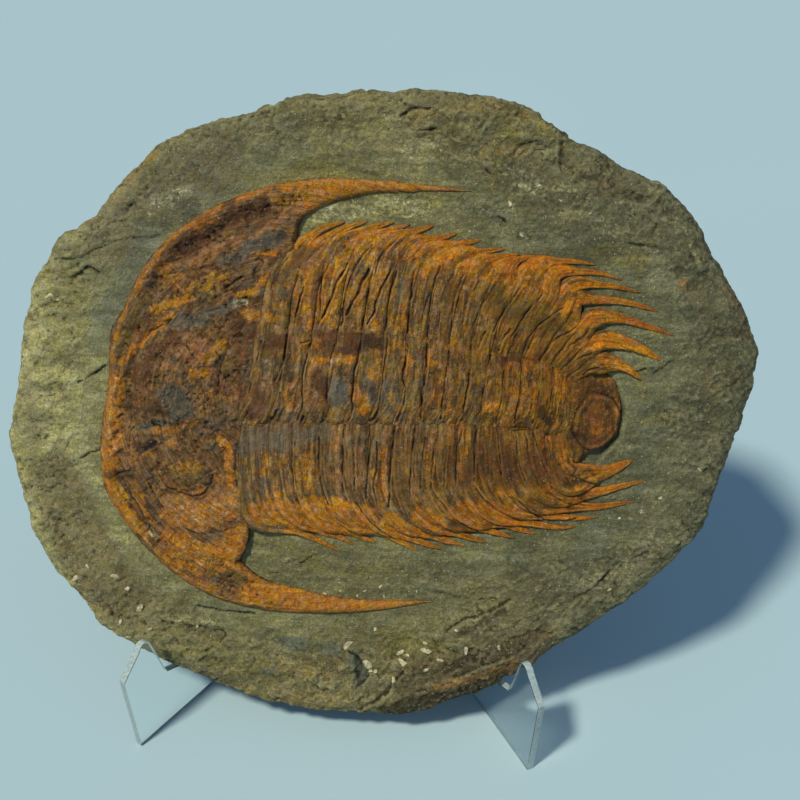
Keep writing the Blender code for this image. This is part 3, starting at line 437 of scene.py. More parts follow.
RIB_STAINS = [
    ("rust", 50, 0.54, [(312, 262), (322, 300), (318, 325)]),
    ("ochre", 50, 0.5, [(360, 258), (372, 300), (382, 330)]), ("maroon", 4, 0.9, [(584, 264), (597, 266)]),
    ("maroon", 4, 0.9, [(604, 274), (622, 280)]), ("maroon", 5, 0.9, [(627, 289), (641, 293)]),
    ("maroon", 5, 0.9, [(644, 306), (659, 312)]), ("maroon", 5, 0.9, [(657, 330), (673, 335)]),
    ("ochre", 14, 0.9, [(604, 340), (625, 346), (650, 356)]),
    ("ochre", 9, 0.6, [(606, 362), (620, 366), (636, 376)]),
    ("rust", 12, 0.8, [(598, 474), (614, 469), (630, 462)]),
    ("ochre", 8, 0.9, [(322, 318), (329, 308), (337, 299)]),
    ("rust", 7, 0.9, [(339, 290), (343, 280), (348, 268)]), ("ochre", 7, 0.7, [(330, 308), (340, 290)]),
    ("rust", 7, 1.0, [(355, 297), (362, 287), (369, 277)]), ("rust", 7, 0.7, [(325, 280), (328, 270)]),
    ("rust", 6, 0.8, [(287, 302), (292, 312)]), ("ochre", 8, 0.7, [(270, 314), (280, 320)]),
    ("slate", 9, 0.9, [(356, 274), (361, 268), (366, 264)]),
    ("slate", 9, 0.7, [(395, 308), (398, 295), (402, 282)]),
    ("rust", 13, 0.8, [(418, 277), (426, 268), (434, 262)]),
    ("olive", 26, 0.55, [(500, 300), (530, 312), (556, 322)]),
    ("dark", 22, 0.45, [(500, 306), (530, 322), (560, 330)]),
    ("rust", 10, 0.95, [(290, 250), (298, 243), (320, 231), (345, 222)]),
    ("rust", 8, 0.9, [(310, 247), (338, 231), (366, 221)]), ("ochre", 5, 0.7, [(330, 240), (356, 227)]),
    ("rust", 9, 0.9, [(348, 244), (366, 232), (394, 223)]), ("ochre", 6, 0.8, [(372, 232), (392, 225)]),
    ("rust", 7, 0.9, [(385, 245), (400, 233), (432, 224)]),
    ("maroon", 5, 0.6, [(400, 240), (416, 228), (436, 222)]),
    ("rust", 8, 0.9, [(415, 252), (436, 243), (470, 238)]),
    ("rust", 8, 0.9, [(435, 262), (460, 251), (500, 250)]),
    ("rust", 8, 0.9, [(465, 272), (490, 258), (538, 256)]),
    ("rust", 7, 0.9, [(510, 272), (540, 264), (596, 264)]),
    ("rust", 7, 0.85, [(545, 280), (575, 273), (624, 280)]),
    ("rust", 7, 0.9, [(560, 292), (596, 285), (641, 293)]),
    ("rust", 7, 0.95, [(560, 308), (600, 299), (659, 311)]),
    ("rust", 9, 0.95, [(574, 328), (609, 316), (672, 334)]),
    ("ochre", 11, 0.7, [(588, 344), (620, 340), (660, 359)]),
    ("rust", 12, 0.9, [(588, 344), (620, 340), (660, 359)]),
    ("rust", 9, 0.9, [(596, 360), (621, 364), (641, 381)]), ("rust", 26, 0.5, [(330, 262), (300, 285)]),
    ("rust", 22, 0.5, [(400, 252), (450, 262), (500, 276), (550, 292)]),
    ("slate", 16, 0.7, [(300, 262), (312, 254), (328, 252)]), ("slate", 16, 0.5, [(288, 290), (300, 274)]),
    ("slate", 12, 0.5, [(310, 300), (316, 280)]), ("dark", 10, 0.6, [(290, 268), (310, 250)]),
    ("rose", 12, 0.6, [(376, 262), (392, 246)]), ("olive", 16, 0.5, [(378, 300), (390, 320)]),
    ("slate", 13, 0.45, [(440, 300), (436, 330)]), ("maroon", 14, 0.4, [(344, 312), (356, 318)]),
    ("rust", 8, 0.5, [(410, 300), (406, 330)]), ("rose", 8, 0.5, [(456, 290), (450, 320)]),
    ("rust", 9, 0.55, [(575, 352), (590, 340)]), ("dark", 8, 0.6, [(596, 352), (580, 366)]),
    ("slate", 24, 0.7, [(248, 440), (270, 438), (294, 436)]), ("slate", 16, 0.6, [(300, 436), (330, 432)]),
    ("rose", 12, 0.7, [(357, 450), (360, 480)]), ("rose", 10, 0.6, [(336, 455), (336, 482)]),
    ("ochre", 22, 0.6, [(304, 460), (304, 484)]), ("rust", 12, 0.5, [(300, 470), (312, 486)]),
    ("ochre", 6, 0.8, [(266, 459), (266, 472)]), ("rust", 6, 0.9, [(376, 470), (376, 479)]),
    ("rust", 8, 0.6, [(384, 446), (383, 500)]), ("rust", 5, 0.9, [(278, 494), (281, 495)]),
    ("rust", 24, 0.9, [(262, 510), (300, 514), (340, 520), (372, 530)]),
    ("rust", 14, 0.9, [(300, 504), (340, 504), (370, 512)]), ("ochre", 10, 0.9, [(336, 501), (356, 506)]),
    ("ochre", 8, 0.5, [(270, 520), (300, 528)]), ("slate", 8, 0.7, [(316, 512), (319, 518)]),
    ("slate", 8, 0.7, [(335, 507), (338, 514)]), ("rose", 11, 0.8, [(356, 512), (363, 520)]),
    ("rust", 18, 0.85, [(390, 520), (400, 532), (416, 545)]), ("rust", 20, 0.8, [(421, 516), (436, 522)]),
    ("rust", 28, 0.8, [(466, 512), (500, 516), (524, 522)]),
    ("maroon", 18, 0.6, [(430, 528), (460, 526), (490, 520)]),
    ("maroon", 12, 0.9, [(418, 538), (434, 542)]), ("dark", 8, 0.6, [(452, 524), (470, 534)]),
    ("rose", 24, 0.6, [(526, 458), (545, 466), (556, 474)]), ("dark", 10, 0.6, [(498, 486), (508, 486)]),
    ("ochre", 8, 0.7, [(500, 490), (512, 492)]), ("rust", 7, 0.9, [(262, 512), (304, 532), (338, 550)]),
    ("rust", 6, 0.9, [(315, 523), (334, 534), (352, 543)]),
    ("ochre", 6, 0.8, [(372, 524), (394, 538), (417, 551)]), ("rust", 6, 0.8, [(455, 530), (485, 543)]),
    ("rust", 7, 0.9, [(496, 516), (513, 530), (536, 534)]),
    ("rust", 7, 0.9, [(530, 526), (554, 531), (573, 526)]),
    ("rust", 7, 0.9, [(545, 512), (571, 518), (597, 518)]),
    ("rust", 6, 0.9, [(560, 500), (604, 508), (632, 503)]),
    ("rust", 6, 0.9, [(575, 488), (612, 488), (644, 481)]),
    ("rust", 11, 0.95, [(576, 462), (609, 468), (631, 460)]),
    ("ochre", 6, 0.6, [(588, 465), (609, 468), (631, 462)]), ("rust", 18, 0.5, [(550, 490), (570, 500)]),
    ("olive", 20, 0.4, [(420, 450), (424, 480)]),
    ("maroon", 40, 0.72, [(440, 464), (500, 464), (552, 468)]),
    ("dark", 26, 0.28, [(450, 466), (500, 466), (540, 470)]), ("olive", 16, 0.4, [(400, 450), (400, 490)]),
    ("slate", 14, 0.45, [(350, 440), (380, 440)]), ("maroon", 20, 0.35, [(440, 450), (470, 460)]),
    ("ochre", 9, 0.5, [(430, 450), (428, 480)]), ("rust", 9, 0.5, [(460, 448), (462, 476)]),
    ("rust", 20, 0.55, [(560, 440), (566, 460)]), ("dark", 8, 0.5, [(556, 430), (562, 446)]),
]
TAIL_STAINS = [
    ("maroon", 34, 0.75, [(584, 392), (600, 404), (604, 430), (588, 440)]),
    ("rust", 16, 0.42, [(592, 428), (606, 426)]),
    ("rust", 5, 0.7, [(618, 400), (621, 418), (616, 436), (602, 449), (588, 452)]),
    ("dark", 8, 0.9, [(574, 434), (582, 439)]), ("maroon", 10, 0.6, [(588, 402), (600, 400)]),
    # On the next two lines the dark stains are painted shadow, along the plate's right edge and under it.
    ("dark", 9, 0.6, [(598, 386), (608, 392), (612, 404)]), ("rust", 6, 0.6, [(580, 380), (578, 400)]),
    ("rose", 8, 0.4, [(592, 414), (606, 412)]), ("dark", 5, 0.5, [(582, 452), (596, 455)]),
]
ROCK_STAINS = [
    # The first two dark stains are painted shadows under the ledges of the lower fissures.
    ("dark", 9, 0.75, [(460, 630), (482, 622), (503, 612)]),
    ("dark", 5, 0.7, [(372, 704), (388, 690), (412, 678)]),
    ("dark", 24, 1.0, [(388, 714), (430, 704), (473, 694), (506, 682)]),
    ("maroon", 50, 0.75, [(420, 680), (480, 668), (530, 650)]),
    ("dark", 15, 0.7, [(398, 682), (430, 672), (473, 662), (520, 646)]),
    ("rust", 8, 0.7, [(438, 687), (462, 681), (490, 674), (516, 664)]),
    ("dark", 12, 0.4, [(470, 658), (500, 652), (530, 644)]),
    ("olive", 34, 0.75, [(392, 640), (420, 652), (446, 662)]),
    ("rust", 14, 0.3, [(506, 632), (530, 636), (556, 630)]),
    ("pale", 30, 0.22, [(560, 590), (610, 572), (650, 540)]),
    ("pale", 26, 0.2, [(250, 652), (300, 660), (340, 690)]),
    ("dark", 10, 0.5, [(358, 660), (362, 672), (358, 682)]),
    ("dark", 16, 0.3, [(420, 606), (450, 604), (486, 596)]),
    ("pale", 22, 0.3, [(470, 158), (500, 170), (540, 186)]),
    ("pale", 16, 0.3, [(560, 190), (590, 214), (612, 232)]),
    ("dark", 9, 0.4, [(640, 214), (668, 236), (690, 262)]),
    ("dark", 12, 0.3, [(560, 160), (600, 176), (640, 190)]),
    ("slate", 70, 0.4, [(90, 250), (150, 205), (215, 165), (270, 140)]),
    ("maroon", 60, 0.7, [(56, 480), (84, 545), (120, 596)]),
    ("maroon", 60, 0.7, [(110, 240), (150, 205), (215, 160)]),
    ("slate", 30, 0.5, [(140, 262), (112, 300), (100, 340)]),
    ("maroon", 12, 0.5, [(24, 372), (34, 420), (30, 476)]),
    ("ochre", 12, 0.8, [(152, 156), (138, 168), (128, 178)]), ("ochre", 9, 0.7, [(121, 193), (111, 206)]),
    ("maroon", 8, 0.5, [(55, 256), (85, 246), (121, 231)]),
    ("maroon", 6, 0.4, [(62, 268), (100, 256), (140, 246)]),
    ("slate", 26, 0.7, [(150, 232), (140, 262), (122, 292), (108, 320)]),
    ("slate", 16, 0.5, [(170, 222), (205, 204), (240, 190)]),
    ("olive", 22, 0.6, [(230, 190), (290, 172), (350, 170)]),
    ("pale", 14, 0.35, [(150, 212), (168, 200), (188, 188)]),
    ("ochre", 12, 0.5, [(409, 118), (450, 108), (500, 108), (526, 116)]),
    ("maroon", 10, 0.4, [(420, 104), (460, 98), (510, 108)]),
    ("pale", 26, 0.3, [(411, 148), (445, 150), (476, 155)]), ("olive", 10, 0.8, [(494, 166), (493, 188)]),
    ("ochre", 18, 0.55, [(490, 152), (520, 150)]), ("olive", 26, 0.6, [(505, 128), (530, 128), (558, 134)]),
    ("rust", 6, 0.7, [(562, 148), (566, 151)]), ("maroon", 11, 0.9, [(599, 192), (608, 187)]),
    ("pale", 5, 0.7, [(520, 186), (524, 187)]), ("pale", 4, 0.7, [(538, 186), (541, 187)]),
    ("pale", 4, 0.7, [(510, 204), (514, 205)]), ("pale", 4, 0.7, [(521, 236), (526, 237)]),
    ("ochre", 10, 0.45, [(600, 252), (622, 252), (643, 257)]), ("olive", 14, 0.6, [(596, 250), (640, 262)]),
    ("pale", 4, 0.4, [(685, 232), (698, 266)]), ("maroon", 20, 0.6, [(732, 290), (744, 312), (748, 336)]),
    ("rust", 7, 0.6, [(681, 282), (684, 284)]), ("olive", 14, 0.7, [(648, 422), (664, 420)]),
    ("pale", 3, 0.8, [(619, 518), (620, 518)]), ("pale", 3, 0.8, [(629, 518), (630, 518)]),
    ("pale", 3, 0.8, [(641, 513), (642, 513)]), ("pale", 3, 0.8, [(660, 498), (661, 498)]),
    ("maroon", 40, 0.55, [(90, 590), (110, 604), (130, 616)]), ("dark", 20, 0.35, [(96, 596), (126, 616)]),
    ("slate", 12, 0.9, [(284, 643), (300, 642)]), ("slate", 10, 0.8, [(320, 648), (338, 647)]),
    ("slate", 8, 0.8, [(262, 672), (275, 673)]), ("slate", 12, 0.9, [(354, 660), (362, 674), (358, 684)]),
    ("ochre", 22, 0.5, [(280, 666), (310, 668), (334, 664)]),
    ("ochre", 24, 0.45, [(224, 690), (280, 700), (345, 700)]),
    ("olive", 30, 0.5, [(190, 640), (230, 660), (270, 672)]),
    ("pale", 8, 0.35, [(163, 618), (202, 622), (226, 632)]),
    ("ochre", 16, 0.4, [(420, 690), (470, 682), (520, 668)]),
    ("maroon", 24, 0.35, [(620, 500), (650, 520), (640, 550)]),
    ("maroon", 26, 0.3, [(560, 600), (600, 580), (640, 560)]),
    ("pale", 24, 0.25, [(30, 360), (30, 420), (50, 480)]),
    ("olive", 22, 0.5, [(430, 200), (380, 205), (330, 210), (316, 228)]),
    ("slate", 18, 0.35, [(470, 200), (520, 226), (580, 246)]),
    ("slate", 30, 0.35, [(580, 560), (620, 500), (660, 430)]),
    ("olive", 16, 0.5, [(280, 545), (330, 565), (380, 570)]),
    ("slate", 20, 0.4, [(420, 580), (470, 570), (520, 560)]),
    ("olive", 12, 0.45, [(662, 330), (640, 350), (646, 392)]),
    ("maroon", 26, 0.35, [(128, 264), (160, 232), (200, 206)]),
    ("dark", 40, 0.2, [(650, 380), (664, 430), (644, 470)]),
    # The dark stain on the next line is darker stone at the upper right, and painted shadow there.
    ("dark", 36, 0.22, [(650, 206), (680, 240), (700, 280)]),
    ("pale", 18, 0.4, [(316, 216), (360, 207), (420, 208)]),
    ("dark", 60, 0.12, [(120, 236), (160, 200), (214, 164)]),
    ("maroon", 14, 0.35, [(700, 300), (712, 350), (708, 400)]),
]
# Soft stains of the sides and back, as the size of their patches, a seed and their strength
BACK_STAINS = {"maroon": (60, 36, 0.6), "ochre": (38, 37, 0.55), "pale": (24, 38, 0.4), "dark": (30, 39, 0.3)}
# Mineral flecks on each plate, as (stain, the half of the plate that it favours, seed)
PLATE_TINTS = [("olive", 1, 205), ("rose", -1, 206), ("maroon", 1, 207)]
STAIN_CHANNELS = {"stain_a": ("rust", "ochre", "maroon", "slate"), "stain_b": ("dark", "pale", "olive", "rose")}

# Loose chips, as (photograph pixel across, down, size in millimetres)
CHIP_PLACES = [
    (50, 295, 5.0), (58, 300, 3.5), (60, 410, 5.0), (76, 577, 6.5), (116, 577, 5.5), (127, 589, 6.0),
    (138, 610, 8.0), (120, 622, 5.0), (128, 637, 4.5), (349, 645, 6.0), (375, 630, 4.5), (368, 665, 7.5),
    (372, 671, 5.0), (393, 679, 6.5), (399, 654, 5.5), (401, 663, 7.5), (423, 642, 7.5), (424, 650, 9.5),
    (408, 656, 3.0), (441, 661, 4.5), (425, 671, 4.5), (465, 652, 5.5), (457, 629, 5.0), (499, 647, 4.0),
    (325, 594, 2.6), (340, 583, 2.4), (341, 591, 2.2), (364, 591, 2.6), (357, 596, 2.0), (381, 586, 2.6),
    (384, 596, 2.4), (417, 591, 2.2), (88, 566, 3.0), (210, 638, 4.0), (196, 628, 3.2), (180, 620, 3.2),
    (150, 628, 3.4), (520, 186, 3.2), (538, 186, 3.0), (510, 204, 3.0), (522, 236, 3.4), (560, 200, 2.6),
    (619, 518, 2.6), (629, 518, 2.6), (641, 513, 2.6), (660, 498, 2.6), (160, 206, 2.4), (172, 198, 2.4),
    (180, 192, 2.0), (92, 330, 2.4), (84, 500, 2.6), (470, 232, 2.6), (700, 470, 2.6), (610, 590, 2.8),
]

# ---------------------------------------------------------------- camera and the slab's face


def camera_axes():
    """The camera's right, up and backward directions."""
    back = np.array([math.sin(CAMERA_AZIMUTH) * math.cos(CAMERA_ELEVATION),
                     -math.cos(CAMERA_AZIMUTH) * math.cos(CAMERA_ELEVATION), math.sin(CAMERA_ELEVATION)])
    right = np.cross(-back, [0.0, 0.0, 1.0])
    right /= np.linalg.norm(right)
    return right, np.cross(right, -back), back


def seen(pixels, height=0.0):
    """Face millimetres of photograph pixels, on the level that stands height over the face."""
    right, top, back = camera_axes()
    eye = FACE_CENTRE + back * CAMERA_DISTANCE
    focal = LENS / SENSOR * PHOTO_SIZE
    pixels = np.array(pixels, float)
    rays = (right * (pixels[:, :1] - CENTRE_PIXEL[0]) - top * (pixels[:, 1:] - CENTRE_PIXEL[1])) - back * focal
    level = FACE_CENTRE + OUT * height * MM
    places = eye + rays * (((level - eye) @ OUT) / (rays @ OUT))[:, None]
    return np.stack([(places - FACE_CENTRE) @ RIGHT, (places - FACE_CENTRE) @ UP], axis=1) / MM


def place_on_face(points):
    """World metres of (U, V, H) millimetres."""
    return FACE_CENTRE + (points[:, :1] * RIGHT + points[:, 1:2] * UP + points[:, 2:3] * OUT) * MM


# ---------------------------------------------------------------- lines, distances and noise


def smooth_line(points, step, closed=False):
    """Points an even step apart along a rounded curve through the given points."""
    ring = [np.array(p, float) for p in points]
    count = len(ring)
    made = []
    for i in range(count if closed else count - 1):
        before = ring[i - 1] if closed or i > 0 else ring[0]
        start = ring[i]
        end = ring[(i + 1) % count]
        after = ring[(i + 2) % count] if closed or i + 2 < count else end
        steps = max(1, round(float(np.linalg.norm(end - start)) / step))
        for j in range(steps):
            t = j / steps
            made.append(0.5 * (2 * start + (end - before) * t
                               + (2 * before - 5 * start + 4 * end - after) * t * t
                               + (3 * start - before - 3 * end + after) * t ** 3))
    if not closed:
        made.append(ring[-1])
    return np.array(made)


def straight_line(points, step, closed=False):
    """Points an even step apart along the straight runs between the given points."""
    ring = list(points) + ([points[0]] if closed else [])
    made = []
    for start, end in zip(ring, ring[1:]):
        start, end = np.array(start, float), np.array(end, float)
        count = max(1, round(float(np.linalg.norm(end - start)) / step))
        made.extend(start + (end - start) * i / count for i in range(count))
    if not closed:
        made.append(np.array(ring[-1], float))
    return np.array(made)


def inward_normals(line, closed=False):
    """Unit vectors to the right of the line's direction."""
    ahead = np.roll(line, -1, axis=0) - np.roll(line, 1, axis=0) if closed else np.gradient(line, axis=0)
    ahead = ahead / np.linalg.norm(ahead, axis=1)[:, None]
    return np.stack([ahead[:, 1], -ahead[:, 0]], axis=1)


def distance_to_line(points, line, reach=1e9):
    """Shortest distance from each point to a line of points, exact as far as the reach."""
    best = np.full(len(points), 1e9)
    for a, b in zip(line, line[1:]):
        low, high = np.minimum(a, b) - reach, np.maximum(a, b) + reach
        near = np.flatnonzero(((points > low) & (points < high)).all(axis=1))
        if not len(near):
            continue
        run = b - a
        away = points[near] - a
        t = np.clip((away @ run) / max(float(run @ run), 1e-9), 0.0, 1.0)
        best[near] = np.minimum(best[near], np.linalg.norm(away - t[:, None] * run, axis=1))
    return best


def distance_to_ring(points, ring, reach=1e9):
    """Shortest distance from each point to a closed ring."""
    return distance_to_line(points, np.vstack([ring, ring[:1]]), reach)


def inside(points, ring):
    """True for each point inside the closed ring."""
    found = np.zeros(len(points), bool)
    for a, b in zip(ring, np.roll(ring, -1, axis=0)):
        crosses = (a[1] > points[:, 1]) != (b[1] > points[:, 1])
        rise = b[1] - a[1] if b[1] != a[1] else 1e-9
        found ^= crosses & (points[:, 0] < a[0] + (points[:, 1] - a[1]) * (b[0] - a[0]) / rise)
    return found


def rise_between(values, low, high):
    """0 below low, 1 above high, and a smooth rise between."""
    t = np.clip((values - low) / (high - low), 0.0, 1.0)
    return t * t * (3 - 2 * t)


def chance(across, up, seed):
    """A repeatable number from 0 to 1 for each whole-number cell."""
    mixed = (across * 73856093 ^ up * 19349663 ^ seed * 83492791) & 0xFFFFFFFF
    mixed = ((mixed ^ (mixed >> 15)) * 2246822519) & 0xFFFFFFFF
    mixed = ((mixed ^ (mixed >> 13)) * 3266489917) & 0xFFFFFFFF
    return (mixed ^ (mixed >> 16)) / 4294967295.0


def unevenness(points, size, seed, octaves=3, rough=0.5):
    """Smooth random heights from about -1 to 1, in bumps of the given size."""
    total = np.zeros(len(points))
    weight, share = 1.0, 0.0
    turn = np.array([[0.8, -0.6], [0.6, 0.8]])
    spots = points / size
    for octave in range(octaves):
        cell = np.floor(spots).astype(np.int64)
        part = spots - cell
        part = part ** 3 * (part * (part * 6 - 15) + 10)
        a, b = cell[:, 0], cell[:, 1]
        key = seed * 31 + octave
        bottom = chance(a, b, key) * (1 - part[:, 0]) + chance(a + 1, b, key) * part[:, 0]
        top = chance(a, b + 1, key) * (1 - part[:, 0]) + chance(a + 1, b + 1, key) * part[:, 0]
        total += weight * ((bottom * (1 - part[:, 1]) + top * part[:, 1]) * 2 - 1)
        share += weight
        weight *= rough
        spots = (spots @ turn) * 2.03 + 17.3
    return total / share * 1.5


def streaks(points, angle, length, width, seed, octaves=3):
    """Unevenness drawn out along a direction."""
    along = np.array([math.cos(angle), math.sin(angle)])
    across = np.array([-along[1], along[0]])
    return unevenness(np.stack([points @ along / length, points @ across / width], axis=1), 1.0, seed, octaves)


def wander(points, size, seeds, octaves=3):
    """A smooth random sideways shift for each point."""
    return np.stack([unevenness(points, size, seed, octaves) for seed in seeds], axis=1)


def bezier(p0, p1, p2, p3, t):
    """Points on a curve that leaves p0 toward p1 and comes to p3 from p2."""
    t = np.asarray(t)[:, None]
    return (1 - t) ** 3 * p0 + 3 * (1 - t) ** 2 * t * p1 + 3 * (1 - t) * t * t * p2 + t ** 3 * p3


# ---------------------------------------------------------------- outlines of the fossil


def head_ring(step):
    """The head shield's outline with both cheek spines."""
    outer = smooth_line(HEAD_MARGIN, step)
    upper, rear, lower = (smooth_line(line, step)[::-1]
                          for line in (UPPER_SPINE_INNER, HEAD_REAR, LOWER_SPINE_INNER))
    return np.vstack([outer, upper[1:], rear[1:], lower[1:-1]])


def body_ring():
    """The thorax and tail without the free spines."""
    return np.array([AXIS_TOP[0], *UPPER_NOTCHES, *TAIL_END, *LOWER_NOTCHES[::-1], AXIS_BOTTOM[0]], float)


def fossil_distance(points, reach=40.0):
    """How far each point lies from the fossil, 0 on it."""
    away = np.full(len(points), 1e9)
    for ring in (head_ring(4.0), body_ring()):
        away = np.minimum(away, np.where(inside(points, ring), 0.0, distance_to_ring(points, ring, reach)))
    for pixels in UPPER_SPINES + LOWER_SPINES:
        spine = smooth_line(seen(pixels, 0.5), 3.0)
        away = np.minimum(away, np.maximum(distance_to_line(points, spine, reach) - 2.5, 0))
    return away


def bend_point(bends, index):
    """Where the rib border with this number bends back."""
    keys = sorted(bends)
    return np.array([np.interp(index, keys, [bends[k][axis] for k in keys]) for axis in (0, 1)])


def rib_border(axis_point, bend, notch, t):
    """The border between two ribs, from the axis round its bend to the notch between the spines."""
    start, bend, end = (np.array(p, float) for p in (axis_point, bend, notch))
    return bezier(start, start + (bend - start) * 0.78, bend + (end - bend) * 0.22, end, t)


# ---------------------------------------------------------------- surfaces stretched over points


def fill_points(ring, spacing, seed, keep=None):
    """Scattered points inside a ring, in rows, clear of its line."""
    rng = np.random.default_rng(seed)
    low, high = ring.min(axis=0), ring.max(axis=0)
    across = np.arange(low[0], high[0], spacing)
    up = np.arange(low[1], high[1], spacing * 0.866)
    grid = np.stack(np.meshgrid(across, up), axis=-1)
    grid[1::2, :, 0] += spacing / 2
    grid = grid.reshape(-1, 2)
    grid = grid + rng.uniform(-0.22, 0.22, grid.shape) * spacing
    if keep is not None:
        grid = grid[keep(grid)]
    grid = grid[inside(grid, ring)]
    return grid[distance_to_ring(grid, ring, spacing) > spacing * 0.45]


def stretch(ring, points):
    """Triangles over the points inside the ring, whose own points come first."""
    count = len(ring)
    flat = [Vector(p) for p in np.vstack([ring, points]).tolist()]
    edges = [(i, (i + 1) % count) for i in range(count)]
    verts, _, faces, _, _, _ = delaunay_2d_cdt(flat, edges, [list(range(count))], 1, 1e-4)
    return np.array([tuple(v) for v in verts]), [tuple(face) for face in faces]


def carve(points, heights, cracks, level, lip=0.0, ridge=0.0):
    """Lowers the heights along the cracks, and gives how deep each point lies in one.

    A lip lets the rock on one side sink; a ridge raises the shell just right of the crack."""
    lip_reach = 16.0
    depth_here = np.zeros(len(points))
    warped = points + (wander(points, 6.0, (71, 72)) * 0.5 + wander(points, 17.0, (74, 75)) * 1.6 * lip)
    for width, depth, pixels in cracks:
        line = seen(pixels, level)
        normals = inward_normals(line)
        half = width * PIXEL / 2
        away = distance_to_line(warped, smooth_line(line, 3.0), lip_reach)
        cut = depth * (1 - rise_between(away, half * 0.1, half + (0.5 if lip else 0.3)))
        depth_here = np.maximum(depth_here, cut)
        if lip:
            left, right = (distance_to_line(warped, line + way * 0.8 * normals, lip_reach) for way in (-1, 1))
            side = np.clip(right - left, -1.0, 1.0) * rise_between(15.0 - away, 0.0, 5.0)
            heights = heights + lip * depth * side * np.exp(-away / 6.0)
        if ridge:
            beside = distance_to_line(warped, line + normals * np.sign(normals[:, :1]) * (half + 0.8), 8.0)
            heights = heights + ridge * depth * (1 - rise_between(beside, 0.1, 1.1))
    thin = 0.85 + 0.55 * unevenness(points, 6.0, 73)
    depth_here *= np.clip(thin, 0.1, 1.2)
    return heights - depth_here, rise_between(depth_here, 0.25, 1.4)


def stain_masks(points, stains, level):
    """The strength of each stain at each point."""
    masks = {name: np.zeros(len(points)) for names in STAIN_CHANNELS.values() for name in names}
    warped = points + (wander(points, 9.0, (81, 82)) * 2.3 + wander(points, 2.6, (83, 84)))
    for name, width, strength, pixels in stains:
        half = width * PIXEL / 2
        soft = 1.0 + half * 0.45
        away = distance_to_line(warped, smooth_line(seen(pixels, level), 4.0), half + soft)
        found = strength * (1 - rise_between(away, half - soft * 0.6, half + soft))
        masks[name] = np.maximum(masks[name], found)
    return masks


# ---------------------------------------------------------------- meshes


def linked(name, data):
    """A new object in the scene."""
    made = bpy.data.objects.new(name, data)
    bpy.context.scene.collection.objects.link(made)
    return made


def new_mesh(name, flat, faces):
    """A mesh of the given points and faces."""
    mesh = bpy.data.meshes.new(name)
    mesh.from_pydata(flat.tolist(), [], faces)
    mesh.update()
    return mesh


def read_values(items, label, width=1):
    """The stored numbers of a mesh's points or layer, one row for each point."""
    values = np.empty(len(items) * width, np.float32)
    items.foreach_get(label, values)
    values = values.astype(float)
    return values.reshape(-1, width) if width > 1 else values


def store(mesh, name, kind, label, values):
    """Keeps numbers with a mesh's points under a name."""
    made = mesh.attributes.new(name, kind, "POINT")
    made.data.foreach_set(label, np.ascontiguousarray(values, np.float32).ravel())


def move_to_face(mesh, flat):
    """Puts a mesh's points at their (U, V, H) places on the slab."""
    mesh.vertices.foreach_set("co", place_on_face(flat).astype(np.float32).ravel())


def add_piece(name, mesh, material):
    """A finished piece that rides the part's only body."""
    piece = linked(name, mesh)
    mesh.materials.clear()
    mesh.materials.append(material)
    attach(piece, "root")
    return piece


def hollows(edges, heights, rounds=6):
    """How far each point lies under (or over) the level of its neighbours."""
    a, b = edges[:, 0], edges[:, 1]
    count = len(heights)
    share = np.maximum(np.bincount(a, minlength=count) + np.bincount(b, minlength=count), 1)
    level = heights.copy()
    for _ in range(rounds):
        total = np.bincount(a, weights=level[b], minlength=count)
        total = total + np.bincount(b, weights=level[a], minlength=count)
        level = 0.5 * level + 0.5 * total / share
    return level - heights


def finish_mesh(mesh, flat, masks, shade_and_dirt, flow, rough=0.0):
    """Puts the points in their place in the world and stores what the finish needs."""
    edges = np.empty(len(mesh.edges) * 2, np.int64)
    mesh.edges.foreach_get("vertices", edges)
    sunk = hollows(edges.reshape(-1, 2), flat[:, 2])
    form = np.ones((len(flat), 4))
    # The first form channel darkens the colour: the given painted shade and dirt, plus painted shade in the
    # hollows.
    form[:, 0] = np.clip(shade_and_dirt + np.clip(sunk * 1.6, 0, 1) * 0.7, 0, 1)
    form[:, 1] = np.clip(-sunk * 2.2, 0, 1)
    form[:, 2] = np.clip(rough, 0, 1)
    store(mesh, "form", "FLOAT_COLOR", "color", form)
    for layer, names in STAIN_CHANNELS.items():
        store(mesh, layer, "FLOAT_COLOR", "color", np.stack([masks[name] for name in names], axis=1))
    store(mesh, "flow", "FLOAT_VECTOR", "vector", flow)
    move_to_face(mesh, flat)
    whole = bmesh.new()
    whole.from_mesh(mesh)
    bmesh.ops.recalc_face_normals(whole, faces=whole.faces)
    whole.to_mesh(mesh)
    whole.free()
    mesh.polygons.foreach_set("use_smooth", [True] * len(mesh.polygons))
    mesh.update()


def wall_faces(count, above, below):
    """Four-sided faces between two rings of points, given the number of each ring's first point."""
    return [(above + i, above + (i + 1) % count, below + (i + 1) % count, below + i) for i in range(count)]


def skirted(verts, heights, faces, rim_count):
    """A closed mesh: the surface, a wall down from its rim, and a flat underside."""
    count = len(verts)
    under = np.column_stack([verts[:rim_count], np.full(rim_count, SKIRT_FLOOR)])
    flat = np.vstack([np.column_stack([verts, heights]), under])
    return flat, [*faces, *wall_faces(rim_count, 0, count), tuple(range(count + rim_count - 1, count - 1, -1))]


# ---------------------------------------------------------------- the rock


